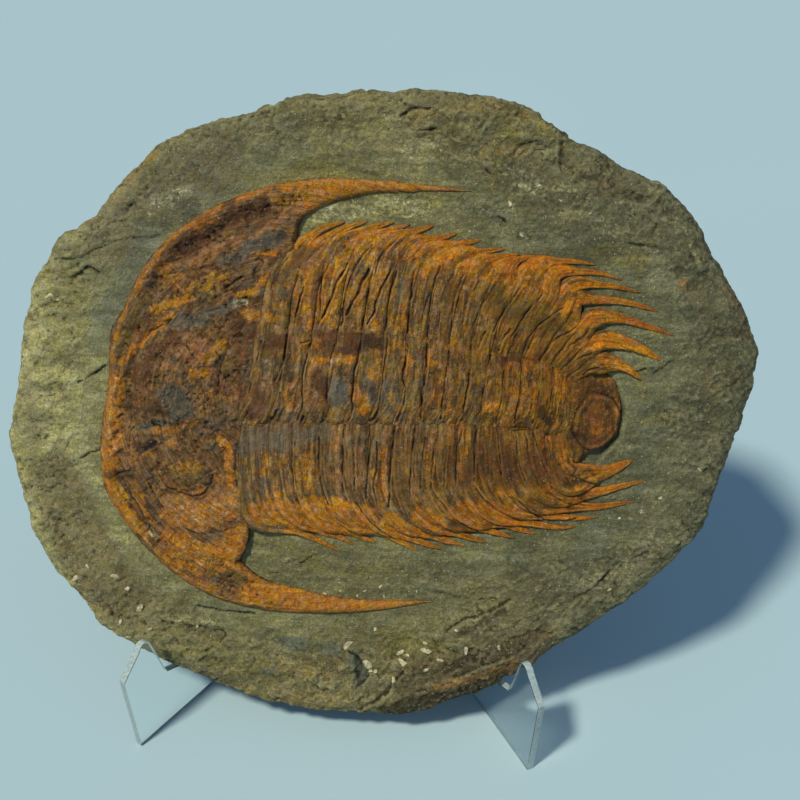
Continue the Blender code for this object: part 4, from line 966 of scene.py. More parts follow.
def broad_rock(points, rim):
    """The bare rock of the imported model: waves, a worn rim, a facet, a scar and a mound."""
    u, v = points[:, 0], points[:, 1]
    waves = 1.1 * np.sin(u / 31 + 0.7) * np.cos(v / 27 - 0.4) + 0.7 * np.sin((u + v) / 17 + 1.3)
    edge = distance_to_ring(points, rim, 40.0)
    worn = np.clip(1 - edge / 13.0, 0, 1) ** 2
    facet = np.clip((u - 196) / 30, 0, 1) * np.clip((v + 20) / 30, 0, 1)
    scar = np.clip((u - 103) / 2, 0, 1) * np.clip((v - 150 + (u - 103) * 0.4) / 6, 0, 1)
    mound = np.clip((u - 54) / 3, 0, 1) * np.clip((100 - u) / 40, 0, 1) * np.clip(1 - abs(v - 140) / 26, 0, 1)
    return waves - 4.0 * worn - 6.0 * facet - 3.5 * scar + 4.0 * mound, edge


def rock_surface(points, rim):
    """Heights of the bare rock, and how much of each point is rough, unworked stone."""
    broad, edge = broad_rock(points, rim)
    near = fossil_distance(points)
    rough = rise_between(near + 6 * unevenness(points, 30, 11), 10, 34)
    calm = 0.35 + 0.65 * rise_between(near, 0, 10)
    heights = broad * np.clip(near / 24, 0.0, 1) - 0.15 * np.clip(1 - near / 14, 0, 1)
    heights += rough * (1.2 * unevenness(points, 34, 12, 3) + 0.55 * unevenness(points, 12, 13, 3))
    fine = (0.25 + 0.75 * rough) * (0.5 * unevenness(points, 4.6, 14, 3))
    fine += (0.4 + 0.6 * rough) * (0.42 * streaks(points, 0.95, 20, 2.2, 15)
                                   + 0.3 * streaks(points, 0.55, 16, 2.0, 18))
    fine += 0.24 * unevenness(points, 2.2, 19, 2)
    warped = points + 5 * wander(points, 16, (25, 27))
    bitten = unevenness(warped * (0.7, 1.2), 15, 26, 4, 0.62)
    bites = 0.8 * rise_between(bitten, 0.08, 0.15) + 0.8 * rise_between(bitten, 0.34, 0.42)
    fine -= (0.3 + 0.7 * rough) * bites
    heights += fine * calm
    layers = (heights * 0.9 + 0.02 * points[:, 1] + 1.2 * unevenness(points, 26, 16, 4)) * 0.75
    step = layers - np.floor(layers)
    heights += (rise_between(step, 0.42, 0.58) - step) * rise_between(near, 16, 40) * 0.9
    pit = np.array(PIT, float)
    heights -= 4.0 * np.where(inside(points, pit), rise_between(distance_to_ring(points, pit, 20.0), 0, 4), 0)
    heights -= 0.9 * rise_between(9 - edge, 0, 9) * (0.5 + 0.5 * unevenness(points, 7, 17))
    return heights, rough


def broken_rim():
    """The slab's outline with the bites and chips of split stone."""
    line = straight_line(SLAB_OUTLINE, ROCK_SPACING, closed=True)
    out = -inward_normals(line, closed=True)
    bites = rise_between(unevenness(line, 26, 28), 0.15, 0.5)
    bitten = 1.2 * unevenness(line, 19, 21, 3) + (0.3 + 0.8 * bites) * unevenness(line, 5, 22, 3)
    line = line + out * bitten[:, None]
    return line + 0.25 * wander(line, 2.4, (23, 24), 2)


def add_sides(flat, faces, rim):
    """The slab's split sides: rings of points under the rim, layered as the stone splits."""
    count = len(rim)
    rim_heights = flat[:count, 2]
    out = -inward_normals(rim, closed=True)
    run = np.cumsum(np.linalg.norm(rim - np.roll(rim, 1, axis=0), axis=1))
    above = 0
    for index, (depth, push) in enumerate(zip(SIDE_DEPTHS, SIDE_REACH)):
        spots = np.column_stack([run, np.full(count, depth * 3.0)])
        bedding = np.column_stack([run / 2.2, np.full(count, index * 9.7)])
        layered = 1.1 * unevenness(bedding, 6.0, 41 + index, 3)
        gap = 0.5 * unevenness(spots, 3.4, 61, 2) * min(1.0, depth / 3)
        shelf = 0.9 * (index // 2 % 2) * (0.5 + 0.5 * unevenness(spots, 16.0, 62))
        away = push + (layered + gap - shelf) * min(1.0, depth / 4)
        level = -depth + rim_heights * (1 - depth / SLAB_THICKNESS)
        below = len(flat)
        flat = np.vstack([flat, np.column_stack([rim + out * away[:, None], level])])
        faces.extend(wall_faces(count, above, below))
        above = below
    return flat


def add_back(flat, faces, count):
    """The slab's back, slightly hollow and uneven, joined to the last ring of its sides."""
    first = len(flat) - count
    rim = flat[first:, :2]
    verts, back_faces = stretch(rim, fill_points(rim, BACK_SPACING, 33))
    inner = verts[count:]
    sink = 1.1 + 0.9 * unevenness(inner, 46, 34) + 0.6 * unevenness(inner, 15, 35)
    edge = distance_to_ring(inner, rim, 30.0)
    level = -SLAB_THICKNESS + np.clip(sink, 0.05, 3.0) * rise_between(edge, 0, 12)
    faces.extend(tuple(first + i for i in face)[::-1] for face in back_faces)
    return np.vstack([flat, np.column_stack([inner, level])])


def rock_mesh():
    """The slab: its carved front, split sides and back. Under the fossil it is low and plain."""
    rim = broken_rim()
    rings = (body_ring(), head_ring(4.0))

    def in_view(grid):
        covered = [inside(grid, ring) & (distance_to_ring(grid, ring, 6.0) > 3.5) for ring in rings]
        return ~np.any(covered, axis=0)

    dense = fill_points(rim, ROCK_SPACING, 31, in_view)
    hidden = fill_points(rim, HIDDEN_SPACING, 32, lambda grid: ~in_view(grid))
    verts, faces = stretch(rim, np.vstack([dense, hidden]))
    heights, rough = rock_surface(verts, rim)
    on_fossil = np.any([inside(verts, ring) for ring in rings], axis=0)
    depth_in = np.min([distance_to_ring(verts, ring, 8.0) for ring in rings], axis=0)
    under = np.where(on_fossil, rise_between(depth_in, 0.2, 3.0), 0.0)
    heights = heights * (1 - under) + UNDER_SHELL * under
    heights, cut = carve(verts, heights, ROCK_CRACKS, 0.0, 0.6)
    masks = stain_masks(verts, ROCK_STAINS, 0.0)

    flat = add_sides(np.column_stack([verts, heights]), faces, rim)
    flat = add_back(flat, faces, len(rim))
    beyond = flat[len(verts):, :2]
    for name, mask in masks.items():
        size, seed, most = BACK_STAINS.get(name, (50, 40, 0.0))
        masks[name] = np.concatenate([mask, most * rise_between(unevenness(beyond, size, seed), 0.1, 0.6)])
    cut = np.concatenate([cut, np.zeros(len(beyond))])
    rough = np.concatenate([rough, np.ones(len(beyond))])
    mesh = new_mesh("rock_slab", flat, faces)
    # The cracks darken with painted shade and dirt.
    finish_mesh(mesh, flat, masks, cut * 0.85, flat * 0.1, rough)
    return mesh


# ---------------------------------------------------------------- the head shield


def head_heights(points):
    """The head's form: rim, cheeks, middle lobe, eyes and spines, and each point's way to its edges."""
    outer, lower, upper, rear = (smooth_line(line, 3.0) for line in (
        HEAD_MARGIN, LOWER_SPINE_INNER, UPPER_SPINE_INNER, HEAD_REAR))
    d_out, d_lower, d_upper = (np.minimum(distance_to_line(points, line, 60.0), 60.0)
                               for line in (outer, lower, upper))
    d_in = np.minimum(d_lower, d_upper)
    heights = np.interp(d_out, *MARGIN_STEPS)
    d_rear = np.minimum(distance_to_line(points, rear, 40.0), 40.0)
    heights += 0.9 * np.exp(-((d_rear - 5.0) / 2.6) ** 2) - 0.9 * np.exp(-((d_rear - 10.5) / 2.4) ** 2)

    foot = smooth_line(GLABELLA, 3.0, closed=True)
    reach = np.minimum(distance_to_ring(points, foot, 30.0), 30.0)
    heights += np.where(inside(points, foot), GLABELLA_RISE * rise_between(reach, -2.0, 15.0), 0.0)
    heights -= 1.3 * np.exp(-(reach / 2.4) ** 2)
    for (u, v), radius, side in EYES:
        away = points - (u, v)
        ring = np.hypot(away[:, 0] / 1.15, away[:, 1] / 0.9) / radius
        heights += EYE_RISE * rise_between(1.0 - ring, 0.0, 0.55)
        outward = np.clip(away[:, 1] * side / radius, 0, 1)
        heights -= EYE_SLIT * np.exp(-((ring - 1.02) / 0.10) ** 2) * outward

    width = d_out + d_in
    across = np.clip(abs(d_out - d_in) / np.maximum(width, 0.01), 0, 1)
    spine = (0.6 + np.minimum(4.4, 0.36 * width)) * (1 - across ** 2.6) ** 0.6
    narrow = 1 - rise_between(width, 17.0, 27.0)
    heights = heights * (1 - narrow) + spine * narrow
    d_edge = np.minimum(d_out, np.minimum(d_in, d_rear + 2.0))
    heights = np.minimum(heights, 0.5 + 2.6 * d_edge)
    cheek = np.exp(-np.sum((points - SMOOTH_CHEEK) ** 2, axis=1) / 26.0 ** 2)
    lumps = rise_between(d_edge, 1.5, 9.0) * (1 - 0.75 * cheek)
    heights += lumps * (1.35 * unevenness(points, 14, 101, 3) + 1.1 * unevenness(points, 5.0, 102, 3))
    bent = points + 2 * unevenness(points, 8, 111)[:, None]
    heights += rise_between(d_edge, 0.0, 3.0) * 0.22 * streaks(bent, 0.8, 8, 2.1, 103)
    heights += 0.26 * rise_between(d_edge, 0.0, 2.0) * unevenness(points, 2.0, 104, 2)
    torn = unevenness(points + 3 * unevenness(points, 9, 114)[:, None], 8, 115, 4, 0.62)
    heights -= 1.15 * lumps * rise_between(torn, 0.24, 0.34)
    return heights, d_out, d_in


def head_mesh():
    """The head shield with its cheek spines, carved, stained and closed underneath."""
    rim = head_ring(1.0)
    rim = rim + 0.35 * wander(rim, 4.0, (105, 106))
    verts, faces = stretch(rim, fill_points(rim, HEAD_SPACING, 107))
    heights, d_out, d_in = head_heights(verts)
    heights, cut = carve(verts, heights, HEAD_CRACKS, HEAD_LEVEL, ridge=0.35)
    masks = stain_masks(verts, HEAD_STAINS, HEAD_LEVEL * 0.8)
    narrow = 1 - rise_between(d_out + d_in, 14.0, 30.0)
    masks["rust"] = np.maximum(masks["rust"], narrow * 0.9)
    # Painted shade along the shell's margin, where it meets the rock.
    foot = np.clip(1 - np.minimum(d_out, d_in) / 1.1, 0, 1)
    flat, faces = skirted(verts, heights, faces, len(rim))
    extra = len(rim)
    masks = {name: np.concatenate([mask, np.full(extra, mask.mean())]) for name, mask in masks.items()}
    mesh = new_mesh("head_shield", flat, faces)
    away = flat[:, :2] - (-60.0, 0.0)
    far = np.linalg.norm(away, axis=1)
    flow = np.column_stack([far, np.arctan2(away[:, 1], -away[:, 0]) * 30.0, np.zeros(len(flat))])
    # The cracks take painted shade and dirt; the walls under the rim are fully dark with painted shade.
    shade_and_dirt = np.concatenate([np.clip(cut + foot * 0.25, 0, 1), np.ones(extra)])
    finish_mesh(mesh, flat, masks, shade_and_dirt, flow)
    return mesh


# ---------------------------------------------------------------- node trees


class TreeMaker:
    """Short calls that place the nodes of a tree and join them."""

    def __init__(self, tree):
        self.tree = tree

    def node(self, kind, **settings):
        made = self.tree.nodes.new(kind)
        for name, value in settings.items():
            setattr(made, name, value)
        return made

    def feed(self, socket, value):
        """Joins a node's output to the socket, or sets its value."""
        if isinstance(value, bpy.types.NodeSocket):
            self.tree.links.new(value, socket)
        elif isinstance(value, tuple) and len(value) == 3 and socket.type == "RGBA":
            socket.default_value = (*value, 1.0)
        else:
            socket.default_value = value

    def fed(self, node, **values):
        """Feeds a node's inputs by name, with spaces written as underscores, and gives the node."""
        for label, value in values.items():
            self.feed(node.inputs[label.replace("_", " ")], value)
        return node

    def math(self, operation, *values):
        made = self.node("ShaderNodeMath", operation=operation)
        for socket, value in zip(made.inputs, values):
            self.feed(socket, value)
        return made.outputs[0]

    def plus(self, first, second):
        return self.math("ADD", first, second)

    def minus(self, first, second):
        return self.math("SUBTRACT", first, second)

    def times(self, first, *others):
        for other in others:
            first = self.math("MULTIPLY", first, other)
        return first

    def mixed(self, first, second, share):
        """Two values added, the second with the given share of the whole."""
        return self.plus(self.times(first, 1.0 - share), self.times(second, share))

    def between(self, value, low, high, start=0.0, end=1.0):
        """A smooth change from start to end as the value goes from low to high."""
        made = self.node("ShaderNodeMapRange", interpolation_type="SMOOTHSTEP")
        for socket, item in zip(made.inputs, (value, low, high, start, end)):
            self.feed(socket, item)
        return made.outputs[0]

    def blend(self, factor, first, second, way="MIX"):
        made = self.node("ShaderNodeMix", data_type="RGBA", blend_type=way)
        for index, value in ((0, factor), (6, first), (7, second)):
            self.feed(made.inputs[index], value)
        return made.outputs[2]

    def noise(self, place, scale, detail=3.0, rough=0.55, lacunarity=2.0, distortion=0.0, output="Fac"):
        made = self.fed(self.node("ShaderNodeTexNoise"), Vector=place, Scale=scale, Detail=detail,
                        Roughness=rough, Lacunarity=lacunarity, Distortion=distortion)
        return made.outputs[output]

    def cells(self, place, scale):
        """Random cells: the distance to each cell's middle, and a number of the cell's own for each colour."""
        made = self.fed(self.node("ShaderNodeTexVoronoi", feature="F1"), Vector=place, Scale=scale)
        return made.outputs["Distance"], self.parts(made.outputs["Color"], "ShaderNodeSeparateColor")

    def parts(self, value, kind="ShaderNodeSeparateXYZ"):
        made = self.node(kind)
        self.feed(made.inputs[0], value)
        return made.outputs

    def shape_of(self, given):
        """The geometry of an object that the tree is given."""
        return self.fed(self.node("GeometryNodeObjectInfo"), Object=given).outputs["Geometry"]

    def named(self, name):
        """A number stored with the points."""
        made = self.node("GeometryNodeInputNamedAttribute", data_type="FLOAT")
        return self.fed(made, Name=name).outputs["Attribute"]

    def stored(self, geometry, name, domain, value):
        made = self.node("GeometryNodeStoreNamedAttribute", data_type="FLOAT", domain=domain)
        return self.fed(made, Geometry=geometry, Name=name, Value=value).outputs["Geometry"]

    def chosen(self, low, high, seed):
        """A random vector between two for each point."""
        made = self.fed(self.node("FunctionNodeRandomValue", data_type="FLOAT_VECTOR"), Seed=seed)
        made.inputs[0].default_value, made.inputs[1].default_value = low, high
        return made.outputs[0]


def new_tree(name, kind, inputs, outputs):
    """A new tree with named inputs and outputs, its maker, what it is given and what it gives."""
    tree = bpy.data.node_groups.new(name, kind)
    for label, sort, value in inputs:
        made = tree.interface.new_socket(label, in_out="INPUT", socket_type="NodeSocket" + sort)
        if value is not None:
            made.default_value = value
    for label, sort in outputs:
        tree.interface.new_socket(label, in_out="OUTPUT", socket_type="NodeSocket" + sort)
    make = TreeMaker(tree)
    return tree, make, make.node("NodeGroupInput").outputs, make.node("NodeGroupOutput").inputs


def give_shape(make, out, geometry, material):
    """Ends a shape tree: real geometry with its material."""
    whole = make.fed(make.node("GeometryNodeRealizeInstances"), Geometry=geometry).outputs[0]
    finish = make.fed(make.node("GeometryNodeSetMaterial"), Geometry=whole, Material=material)
    make.feed(out[0], finish.outputs[0])


def swept_plates_tree():
    """Overlapping plates: a section carried along each path, with a groove and worn unevenness."""
    tree, make, given, out = new_tree("swept_plates", "GeometryNodeTree", [
        ("Geometry", "Geometry", None), ("Paths", "Object", None), ("Section", "Object", None),
        ("Steps", "Int", SWEEP_STEPS), ("Groove Depth", "Float", 1.0), ("Groove Start", "Float", -0.7),
        ("Groove End", "Float", 0.3), ("Groove Run", "Float", 0.6), ("Unevenness", "Float", 0.5),
        ("Finish", "Material", None)], [("Geometry", "Geometry")])
    evened = make.fed(make.node("GeometryNodeResampleCurve"), Curve=make.shape_of(given["Paths"]),
                      Count=given["Steps"])
    upright = make.fed(make.node("GeometryNodeSetCurveNormal", mode="Z_UP"), Curve=evened.outputs["Curve"])
    guide = make.stored(upright.outputs["Curve"], "along", "POINT",
                        make.node("GeometryNodeSplineParameter").outputs["Factor"])
    guide = make.stored(guide, "plate", "CURVE", make.node("GeometryNodeInputIndex").outputs["Index"])
    place = make.node("GeometryNodeInputPosition").outputs[0]
    section = make.stored(make.shape_of(given["Section"]), "across", "POINT", make.parts(place)["X"])
    swept = make.fed(make.node("GeometryNodeCurveToMesh"), Curve=guide, Profile_Curve=section,
                     Scale=make.node("GeometryNodeInputRadius").outputs[0], Fill_Caps=True)

    gone = make.between(make.named("along"), 0.06, given["Groove Run"], given["Groove Start"],
                        given["Groove End"])
    beside = make.math("ABSOLUTE", make.minus(make.named("across"), gone))
    ends = make.times(make.between(make.named("along"), 0.0, 0.12),
                      make.between(make.named("along"), 0.5, 0.72, 1.0, 0.0))
    lowered = make.times(make.between(beside, 0.03, 0.26, 1.0, 0.0), ends, given["Groove Depth"])
    raised, pushed = (make.times(make.minus(bumps, 0.5), given["Unevenness"]) for bumps in (
        make.noise(place, 0.16, 4.0, 0.6), make.noise(place, 0.24, 2.0, 0.5)))
    shift = make.fed(make.node("ShaderNodeCombineXYZ"), X=pushed,
                     Z=make.minus(make.times(raised, 2.0), lowered))
    moved = make.fed(make.node("GeometryNodeSetPosition"), Geometry=swept.outputs["Mesh"],
                     Offset=shift.outputs[0])
    give_shape(make, out, moved.outputs[0], given["Finish"])
    return tree


def grow(tree, name, settings, host_mesh=None):
    """The plain mesh that a tree makes with the given settings."""
    host = linked(name, host_mesh or bpy.data.meshes.new(name))
    modifier = host.modifiers.new(name, "NODES")
    modifier.node_group = tree
    keys = {item.name: item.identifier for item in tree.interface.items_tree if item.in_out == "INPUT"}
    for label, value in settings.items():
        modifier[keys[label]] = value
    mesh = bpy.data.meshes.new_from_object(host.evaluated_get(bpy.context.evaluated_depsgraph_get()))
    host.modifiers.remove(modifier)
    bpy.data.objects.remove(host, do_unlink=True)
    return mesh


# ---------------------------------------------------------------- ribs and rings


def path_curve(name, paths, widths, closed=False):
    """A curve object with one straight-run spline for each path, whose radius is its half width."""
    curve = bpy.data.curves.new(name, "CURVE")
    curve.dimensions = "3D"
    for path, width in zip(paths, widths):
        spline = curve.splines.new("POLY")
        spline.points.add(len(path) - 1)
        spline.points.foreach_set("co", np.column_stack([path, np.ones(len(path))]).astype(np.float32).ravel())
        spline.points.foreach_set("radius", np.asarray(width, np.float32))
        spline.use_cyclic_u = closed
    return linked(name, curve)


def plate_section():
    """The closed section that every plate is swept with."""
    across = np.linspace(-1.0, 1.0, SECTION_POINTS)
    section = [*zip(across, np.interp(across, PLATE_ACROSS, PLATE_HEIGHTS)), *PLATE_FOOT]
    profile = np.array([(x, -y, 0.0) for x, y in section])
    return path_curve("plate_section", [profile], [np.ones(len(profile))], closed=True)


def no_rust(along, spots):
    """The axis rings take no rust of their own."""
    return np.zeros(len(along))


def rust_outside(along, spots):
    """Rust that grows along a rib, beyond where it bends back."""
    return 0.85 * rise_between(along + 0.12 * unevenness(spots, 9, 204), 0.56, 0.78)


def sweep_piece(name, tree, rows, settings, cracks, stains, level, shell, rusted=rust_outside, edge_shade=0.93):
    """A row of plates, grown by the tree, then cracked, stained, darkened with painted shade at their edges and
    set in place.
    """
    guide, section = path_curve(name + "_paths", *rows), plate_section()
    mesh = grow(tree, name, {"Paths": guide, "Section": section, "Finish": shell, **settings})
    for helper in (guide, section):
        bpy.data.objects.remove(helper, do_unlink=True)
    flat = read_values(mesh.vertices, "co", 3)
    labels = ("along", "across", "plate")
    along, across, plate = (read_values(mesh.attributes[label].data, "value") for label in labels)
    for label in labels:
        mesh.attributes.remove(mesh.attributes[label])
    spots = flat[:, :2]
    flat[:, 2] += 0.42 * unevenness(spots, 4.2, 201, 3) + 0.14 * unevenness(spots, 1.8, 202, 2)
    flat[:, 2], cut = carve(spots, flat[:, 2], cracks, level, ridge=0.45)
    masks = stain_masks(spots, stains, level * 0.8)
    masks["rust"] = np.maximum(masks["rust"], rusted(along, spots))
    inner = 1 - rise_between(along, 0.5, 0.7)
    for stain, side, seed in PLATE_TINTS:
        held = 0.5 * chance(plate.astype(np.int64), 0, seed) * rise_between(across * side, -0.2, 0.3)
        masks[stain] = np.maximum(masks[stain], held * inner)
    # Painted shade: a dark line along each plate's rear edge, which faces away from the light, and a fainter
    # one along the front edge that tucks under the plate before it.
    rear = rise_between(across + 0.05 * unevenness(spots, 5, 203), edge_shade, 1.0)
    front = rise_between(-across, 0.93, 1.0) * 0.45
    shade_and_dirt = np.clip(cut + (rear * 0.7 + front) * (1 - rise_between(along, 0.6, 0.9)), 0, 1)
    flow = np.column_stack([across * 6.0 + plate * 37.0, along * 60.0, plate * 5.0])
    finish_mesh(mesh, flat, masks, shade_and_dirt, flow)
    return add_piece(name, mesh, shell)


def smoothed(line, window):
    """A line evened out over a window of points, with both ends held."""
    share = np.hanning(window)[1:-1] / np.hanning(window).sum()
    reach = (window - 3) // 2
    padded = np.pad(line, ((reach, reach), (0, 0)), mode="reflect", reflect_type="odd")
    return np.stack([np.convolve(padded[:, axis], share, "valid") for axis in (0, 1)], axis=1)


def rib_paths(roots, places, bends, notches, spines, spine_widths):
    """Each rib's middle line out to its spine tip with its height, and its half width."""
    t = np.linspace(0.0, 1.0, 31)
    level = np.interp(t, [0, 0.14, 0.6, 1], [AXIS_FURROW - 0.6, RIB_HEIGHT, RIB_HEIGHT, SPINE_HEIGHT])
    borders = [rib_border(root, bend_point(bends, place), notch, t)
               for root, place, notch in zip(roots, places, notches)]
    paths, widths = [], []
    for index, (pixels, width) in enumerate(zip(spines, spine_widths)):
        front, rear = borders[index] - (2.4 * (index == 0), 0), borders[index + 1]
        body = ((front + rear) / 2)[:ON_BODY]
        joined = smooth_line(np.vstack([body[::7], seen(pixels, 1.0)]), 1.5)
        cut = np.argmin(np.linalg.norm(joined - body[-1], axis=1))
        line = smoothed(np.vstack([body, joined[cut + 1:]]), 15)
        ahead = np.gradient(line, axis=0)
        ahead /= np.linalg.norm(ahead, axis=1)[:, None]
        gap = rear[:ON_BODY] - front[:ON_BODY]
        across = np.abs(gap[:, 0] * ahead[:ON_BODY, 1] - gap[:, 1] * ahead[:ON_BODY, 0]) / 2 * 1.06 + 0.25
        across *= 1 + 0.28 * rise_between(t[:ON_BODY], 0.3, 0.68)
        run = np.cumsum(np.linalg.norm(np.diff(line[ON_BODY - 1:], axis=0), axis=1))
        share = run / run[-1]
        root_width = across[-1] + (width * PIXEL / 2 - across[-1]) * rise_between(share, 0.08, 0.6)
        narrowing = root_width * (1 - share ** 2.2) ** 0.75 + 0.16
        high = np.interp(share, [0, 0.35, 1], [level[ON_BODY - 1], SPINE_HEIGHT * 0.62, SPINE_TIP_HEIGHT])
        paths.append(np.column_stack([line, np.concatenate([level[:ON_BODY], high])]))
        widths.append(np.concatenate([across, narrowing]))
    return paths, widths


def ring_paths():
    """Each axis ring's middle line from furrow to furrow with its height, and its half width."""
    t = np.linspace(-0.02, 1.02, 30)
    arch = np.clip(np.sin(np.pi * np.clip(t, 0, 1)), 0, 1) ** 0.55
    bow = 2.2 * np.sin(np.pi * t) - 3.6 * rise_between(t, 0.72, 1.0)
    paths, widths = [], []
    for index in range(RINGS):
        tops, bottoms = (np.array(line[index:index + 2], float) for line in (AXIS_TOP, AXIS_BOTTOM))
        front, rear = (top + (bottom - top) * t[:, None] for top, bottom in zip(tops, bottoms))
        front[:, 0] -= 2.4 * (index == 0)
        middle = (front + rear) / 2
        middle[:, 0] += bow * max(0.55, min(1.0, np.linalg.norm(tops[1] - tops[0]) / 15.0)) + 0.6
        falling = 1 - 0.45 * index / RINGS - 0.28 * max(0, index - 12) / 5
        height = AXIS_FURROW - 1.0 + (AXIS_HEIGHT - AXIS_FURROW) * arch * falling
        paths.append(np.column_stack([middle, height]))
        widths.append(np.linalg.norm(rear - front, axis=1) / 2 * 1.05 + 0.2)
    return paths, widths


def tail_mesh():
    """The low tail shield with the oval plate raised on it."""
    shield = smooth_line(seen(TAIL_SHIELD, TAIL_LEVEL), 0.9, closed=True)
    shield = shield + 0.5 * wander(shield, 5.0, (112, 113))
    oval = smooth_line(TAIL_PLATE, 0.9, closed=True)
    verts, faces = stretch(shield, fill_points(shield, TAIL_SPACING, 108))
    rim, edge = (np.minimum(distance_to_ring(verts, ring, 20.0), 20.0) for ring in (shield, oval))
    within = inside(verts, oval)
    low = np.interp(rim, [0, 1.0, 3.0, 8.0], [0.2, 1.2, 2.3, 3.3]) + 1.9 * rise_between(132 - verts[:, 0], 0, 9)
    raised = np.interp(edge, [0, 0.8, 2.2, 3.4, 5.5, 12], [2.6, 3.8, TAIL_HEIGHT - 0.4, TAIL_HEIGHT - 0.8,
                                                         TAIL_HEIGHT - 1.8, TAIL_HEIGHT + 0.2])
    heights = np.where(within, raised, low - 0.7 * np.exp(-(edge / 1.6) ** 2))
    heights = np.minimum(heights, 0.2 + 2.2 * rim)
    away = verts - TAIL_LOBE
    lobe = np.exp(-(away[:, 1] / 3.5) ** 2) * rise_between(-away[:, 0], -14, 8)
    heights += 1.0 * lobe * within + 0.9 * unevenness(verts, 5.0, 109, 4) + 0.3 * unevenness(verts, 1.8, 110)
    heights -= 1.6 * np.exp(-(np.linalg.norm(verts - seen([TAIL_PIT], 5.0)[0], axis=1) / 3.2) ** 2)
    masks = stain_masks(verts, TAIL_STAINS, TAIL_LEVEL)
    flat, faces = skirted(verts, heights, faces, len(shield))
    extra = len(shield)
    masks = {name: np.concatenate([mask, np.zeros(extra)]) for name, mask in masks.items()}
    mesh = new_mesh("tail_plate", flat, faces)
    # Painted shade round the oval plate's rim, strongest on its right side, away from the light; the walls
    # under the rim are fully dark with painted shade.
    rim_shade = np.exp(-(edge / 0.9) ** 2) * 0.5 * (0.2 + 0.8 * rise_between(verts[:, 0], 128, 142))
    finish_mesh(mesh, flat, masks, np.concatenate([rim_shade, np.ones(extra)]), flat * 0.5)
    return mesh


# ---------------------------------------------------------------- the easel


def wing_profile():
    """One wing's outline as (distance from its front foot, height), in millimetres."""
    heel = (NOTCH_FRONT + NOTCH_RUN, NOTCH_HEIGHT - NOTCH_RUN * math.tan(LEAN) * math.cos(WING_ANGLE))
    rest_top = heel[0] + (EASEL_HEIGHT - heel[1]) * math.tan(LEAN) / math.cos(WING_ANGLE)
    lip = [(LIP_CENTRE[0] + LIP_RADIUS * math.cos(math.radians(a)),
            LIP_CENTRE[1] + LIP_RADIUS * math.sin(math.radians(a))) for a in range(165, 0, -18)]
    notch = [(NOTCH_FRONT, NOTCH_HEIGHT + NOTCH_FILLET),
             (NOTCH_FRONT + NOTCH_FILLET * 0.3, NOTCH_HEIGHT + NOTCH_FILLET * 0.3),
             (NOTCH_FRONT + NOTCH_FILLET, NOTCH_HEIGHT), (heel[0] - 2.0, heel[1] + 1.0),
             (heel[0], heel[1] + 4.0)]
    corner = [(rest_top - 3.0, EASEL_HEIGHT - 6.0), (rest_top - 0.8, EASEL_HEIGHT - 1.6),
              (rest_top + 3.0, EASEL_HEIGHT)]
    return [(0.0, 0.0), KNEE, *lip, *notch, *corner]


def bend_sheet(run, side):
    """Where a distance along the unfolded sheet, measured from the fold, lies in plan."""
    reach = FOLD_RADIUS * (math.pi / 2 - WING_ANGLE)
    angle = min(run, reach) / FOLD_RADIUS
    x, y = FOLD_RADIUS * math.sin(angle), -FOLD_RADIUS * (1 - math.cos(angle))
    if run > reach:
        x += math.sin(WING_ANGLE) * (run - reach)
        y -= math.cos(WING_ANGLE) * (run - reach)
    return x * side, y


def easel_mesh():
    """The sheet's outline folded about its middle."""
    half = [(WING_LENGTH - d, z) for d, z in wing_profile()]
    outline = half + [(-run, z) for run, z in reversed(half)]
    mesh = bmesh.new()
    mesh.faces.new([mesh.verts.new((run, 0.0, z)) for run, z in outline])
    reach = FOLD_RADIUS * (math.pi / 2 - WING_ANGLE)
    for step in np.linspace(-reach, reach, 17):
        bmesh.ops.bisect_plane(mesh, geom=mesh.verts[:] + mesh.edges[:] + mesh.faces[:],
                               plane_co=(step, 0, 0), plane_no=(1, 0, 0))
    fold_y = FEET_Y + (WING_LENGTH - reach) * math.cos(WING_ANGLE) + FOLD_RADIUS * (1 - math.sin(WING_ANGLE))
    for vert in mesh.verts:
        x, y = bend_sheet(abs(vert.co.x), 1.0 if vert.co.x >= 0 else -1.0)
        vert.co = Vector((FOLD_X + x * (RIGHT_WING_SPREAD if x > 0 else 1.0), fold_y + y, vert.co.z)) * MM
    bmesh.ops.recalc_face_normals(mesh, faces=mesh.faces)
    made = bpy.data.meshes.new("clear_easel")
    mesh.to_mesh(made)
    mesh.free()
    return made


def make_easel(clear, sawn):
    """The folded sheet, thickened, with sawn edges that are eased a little and paler with painted light."""
    piece = add_piece("clear_easel", easel_mesh(), clear)
    piece.data.materials.append(sawn)
    wall = piece.modifiers.new("sheet", "SOLIDIFY")
    wall.thickness = SHEET * MM
    wall.offset = 0.0
    wall.use_even_offset = True
    wall.material_offset_rim = 1
    edge = piece.modifiers.new("eased_edges", "BEVEL")
    edge.width = EASED_EDGE * MM
    edge.segments = 2
    edge.limit_method = "ANGLE"
    edge.angle_limit = math.radians(35)
    return piece


# ---------------------------------------------------------------- loose chips on the stone


def chip_form():
    """One flat, uneven flake about a unit across."""
    mesh = bmesh.new()
    bmesh.ops.create_icosphere(mesh, subdivisions=1, radius=0.5)
    for index, vert in enumerate(mesh.verts):
        spot = np.array([[index * 3.7, index * 1.9]])
        vert.co *= 1.0 + 0.5 * float(unevenness(spot, 1.3, 301)[0])
        vert.co.z *= 0.26
        vert.co.y *= 0.8
    made = bpy.data.meshes.new("chip_form")
    mesh.to_mesh(made)
    mesh.free()
    return linked("chip", made)


